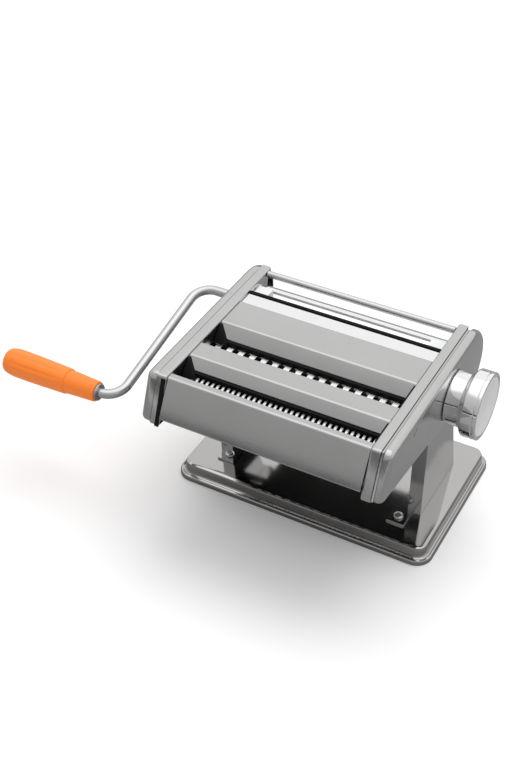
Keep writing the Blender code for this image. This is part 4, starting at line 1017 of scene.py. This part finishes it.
# Grip: moulded orange plastic that turns on the rod, narrow at the collar and fluted along
# its length, with a cap pressed into its end. A washer spaces it from the bend.
GRIP_CENTRE = (-0.0985, 0.0909)
GRIP_INNER_X = -0.1520
GRIP_STEP_X = -0.1780
GRIP_SHOULDER_X = GRIP_STEP_X - 0.0010
GRIP_OUTER_X = -0.2345
GRIP_BORE = 0.00405
GRIP_COLLAR = 0.0080
GRIP_WAIST = 0.0092
GRIP_SHOULDER = 0.0100
GRIP_BULGE = 0.0010
GRIP_BULGE_STEPS = 12
GRIP_ROUND = 0.0110
GRIP_END_RADIUS = 0.0082
GRIP_RIM = 0.0081
GRIP_CAP_SEAT = 0.0018
GRIP_ROUND_STEPS = 8
GRIP_FLUTES = 10
GRIP_FLUTE_DEPTH = 0.00045
FLUTE_START = 0.05
FLUTE_END = 0.98
FLUTE_LEAST_RADIUS = 0.0095
FLUTE_RISE = 8
FLUTE_FALL = 5
FLUTE_SHARPNESS = 4
GRIP_CAP_RADIUS = 0.0078

orange, orange_shader = shader_material("orange_plastic")
orange_shader.inputs["Base Color"].default_value = (1.0, 0.23, 0.016, 1)
orange_shader.inputs["Roughness"].default_value = 0.36
orange_shader.inputs["Coat Weight"].default_value = 0.15
orange_shader.inputs["Coat Roughness"].default_value = 0.25
relief(orange, orange_shader, noise_on(orange, 700, (0.3, 1, 1)), 0.25, 0.0001)

grip_profile = [
    (GRIP_INNER_X, GRIP_BORE),
    (GRIP_INNER_X, GRIP_COLLAR - 0.0010),
    (GRIP_INNER_X - 0.0004, GRIP_COLLAR - 0.0003),
    (GRIP_INNER_X - 0.0012, GRIP_COLLAR),
    (GRIP_STEP_X, GRIP_WAIST),
    (GRIP_STEP_X - 0.0004, GRIP_SHOULDER - 0.0002),
    (GRIP_SHOULDER_X, GRIP_SHOULDER),
]
for step in range(1, GRIP_BULGE_STEPS + 1):
    share = step / GRIP_BULGE_STEPS
    bulge_x = GRIP_SHOULDER_X + (GRIP_OUTER_X + GRIP_ROUND - GRIP_SHOULDER_X) * share
    grip_profile.append((bulge_x, GRIP_SHOULDER + GRIP_BULGE * math.sin(math.pi / 2 * share)))
round_drop = GRIP_SHOULDER + GRIP_BULGE - GRIP_END_RADIUS
for step in range(1, GRIP_ROUND_STEPS + 1):
    angle = math.radians(90 * step / GRIP_ROUND_STEPS)
    round_x = GRIP_OUTER_X + GRIP_ROUND * (1 - math.sin(angle))
    grip_profile.append((round_x, GRIP_END_RADIUS + round_drop * math.cos(angle)))
grip_profile += [
    (GRIP_OUTER_X, GRIP_RIM),
    (GRIP_OUTER_X + GRIP_CAP_SEAT, GRIP_RIM),
    (GRIP_OUTER_X + GRIP_CAP_SEAT, GRIP_BORE),
    (GRIP_INNER_X, GRIP_BORE),
]
grip = spun(grip_profile, GRIP_CENTRE, 80)
for vert in grip.verts:
    away = Vector((0, vert.co.y - GRIP_CENTRE[0], vert.co.z - GRIP_CENTRE[1]))
    along = (GRIP_STEP_X - vert.co.x) / (GRIP_STEP_X - GRIP_OUTER_X)
    if away.length > FLUTE_LEAST_RADIUS and FLUTE_START < along < FLUTE_END:
        angle = math.atan2(away.z, away.y)
        fade = min(1, (along - FLUTE_START) * FLUTE_RISE, (FLUTE_END - along) * FLUTE_FALL)
        groove = (0.5 + 0.5 * math.cos(GRIP_FLUTES * angle)) ** FLUTE_SHARPNESS
        vert.co -= away.normalized() * GRIP_FLUTE_DEPTH * fade * groove
piece("grip_moulding", grip, orange, "orange_plastic", "crank_grip", "crank_grip")
cap_profile = [
    (GRIP_OUTER_X + 0.0015, 0),
    (GRIP_OUTER_X + 0.0015, GRIP_CAP_RADIUS),
    (GRIP_OUTER_X + 0.0004, GRIP_CAP_RADIUS),
    (GRIP_OUTER_X + 0.0001, GRIP_CAP_RADIUS - 0.0004),
    (GRIP_OUTER_X, 0),
]
cap = spun(cap_profile, GRIP_CENTRE, 64)
piece("grip_cap_moulding", cap, orange, "orange_plastic", "crank_grip", "grip_end_cap")
dress(satin_steel, "grip_washer")
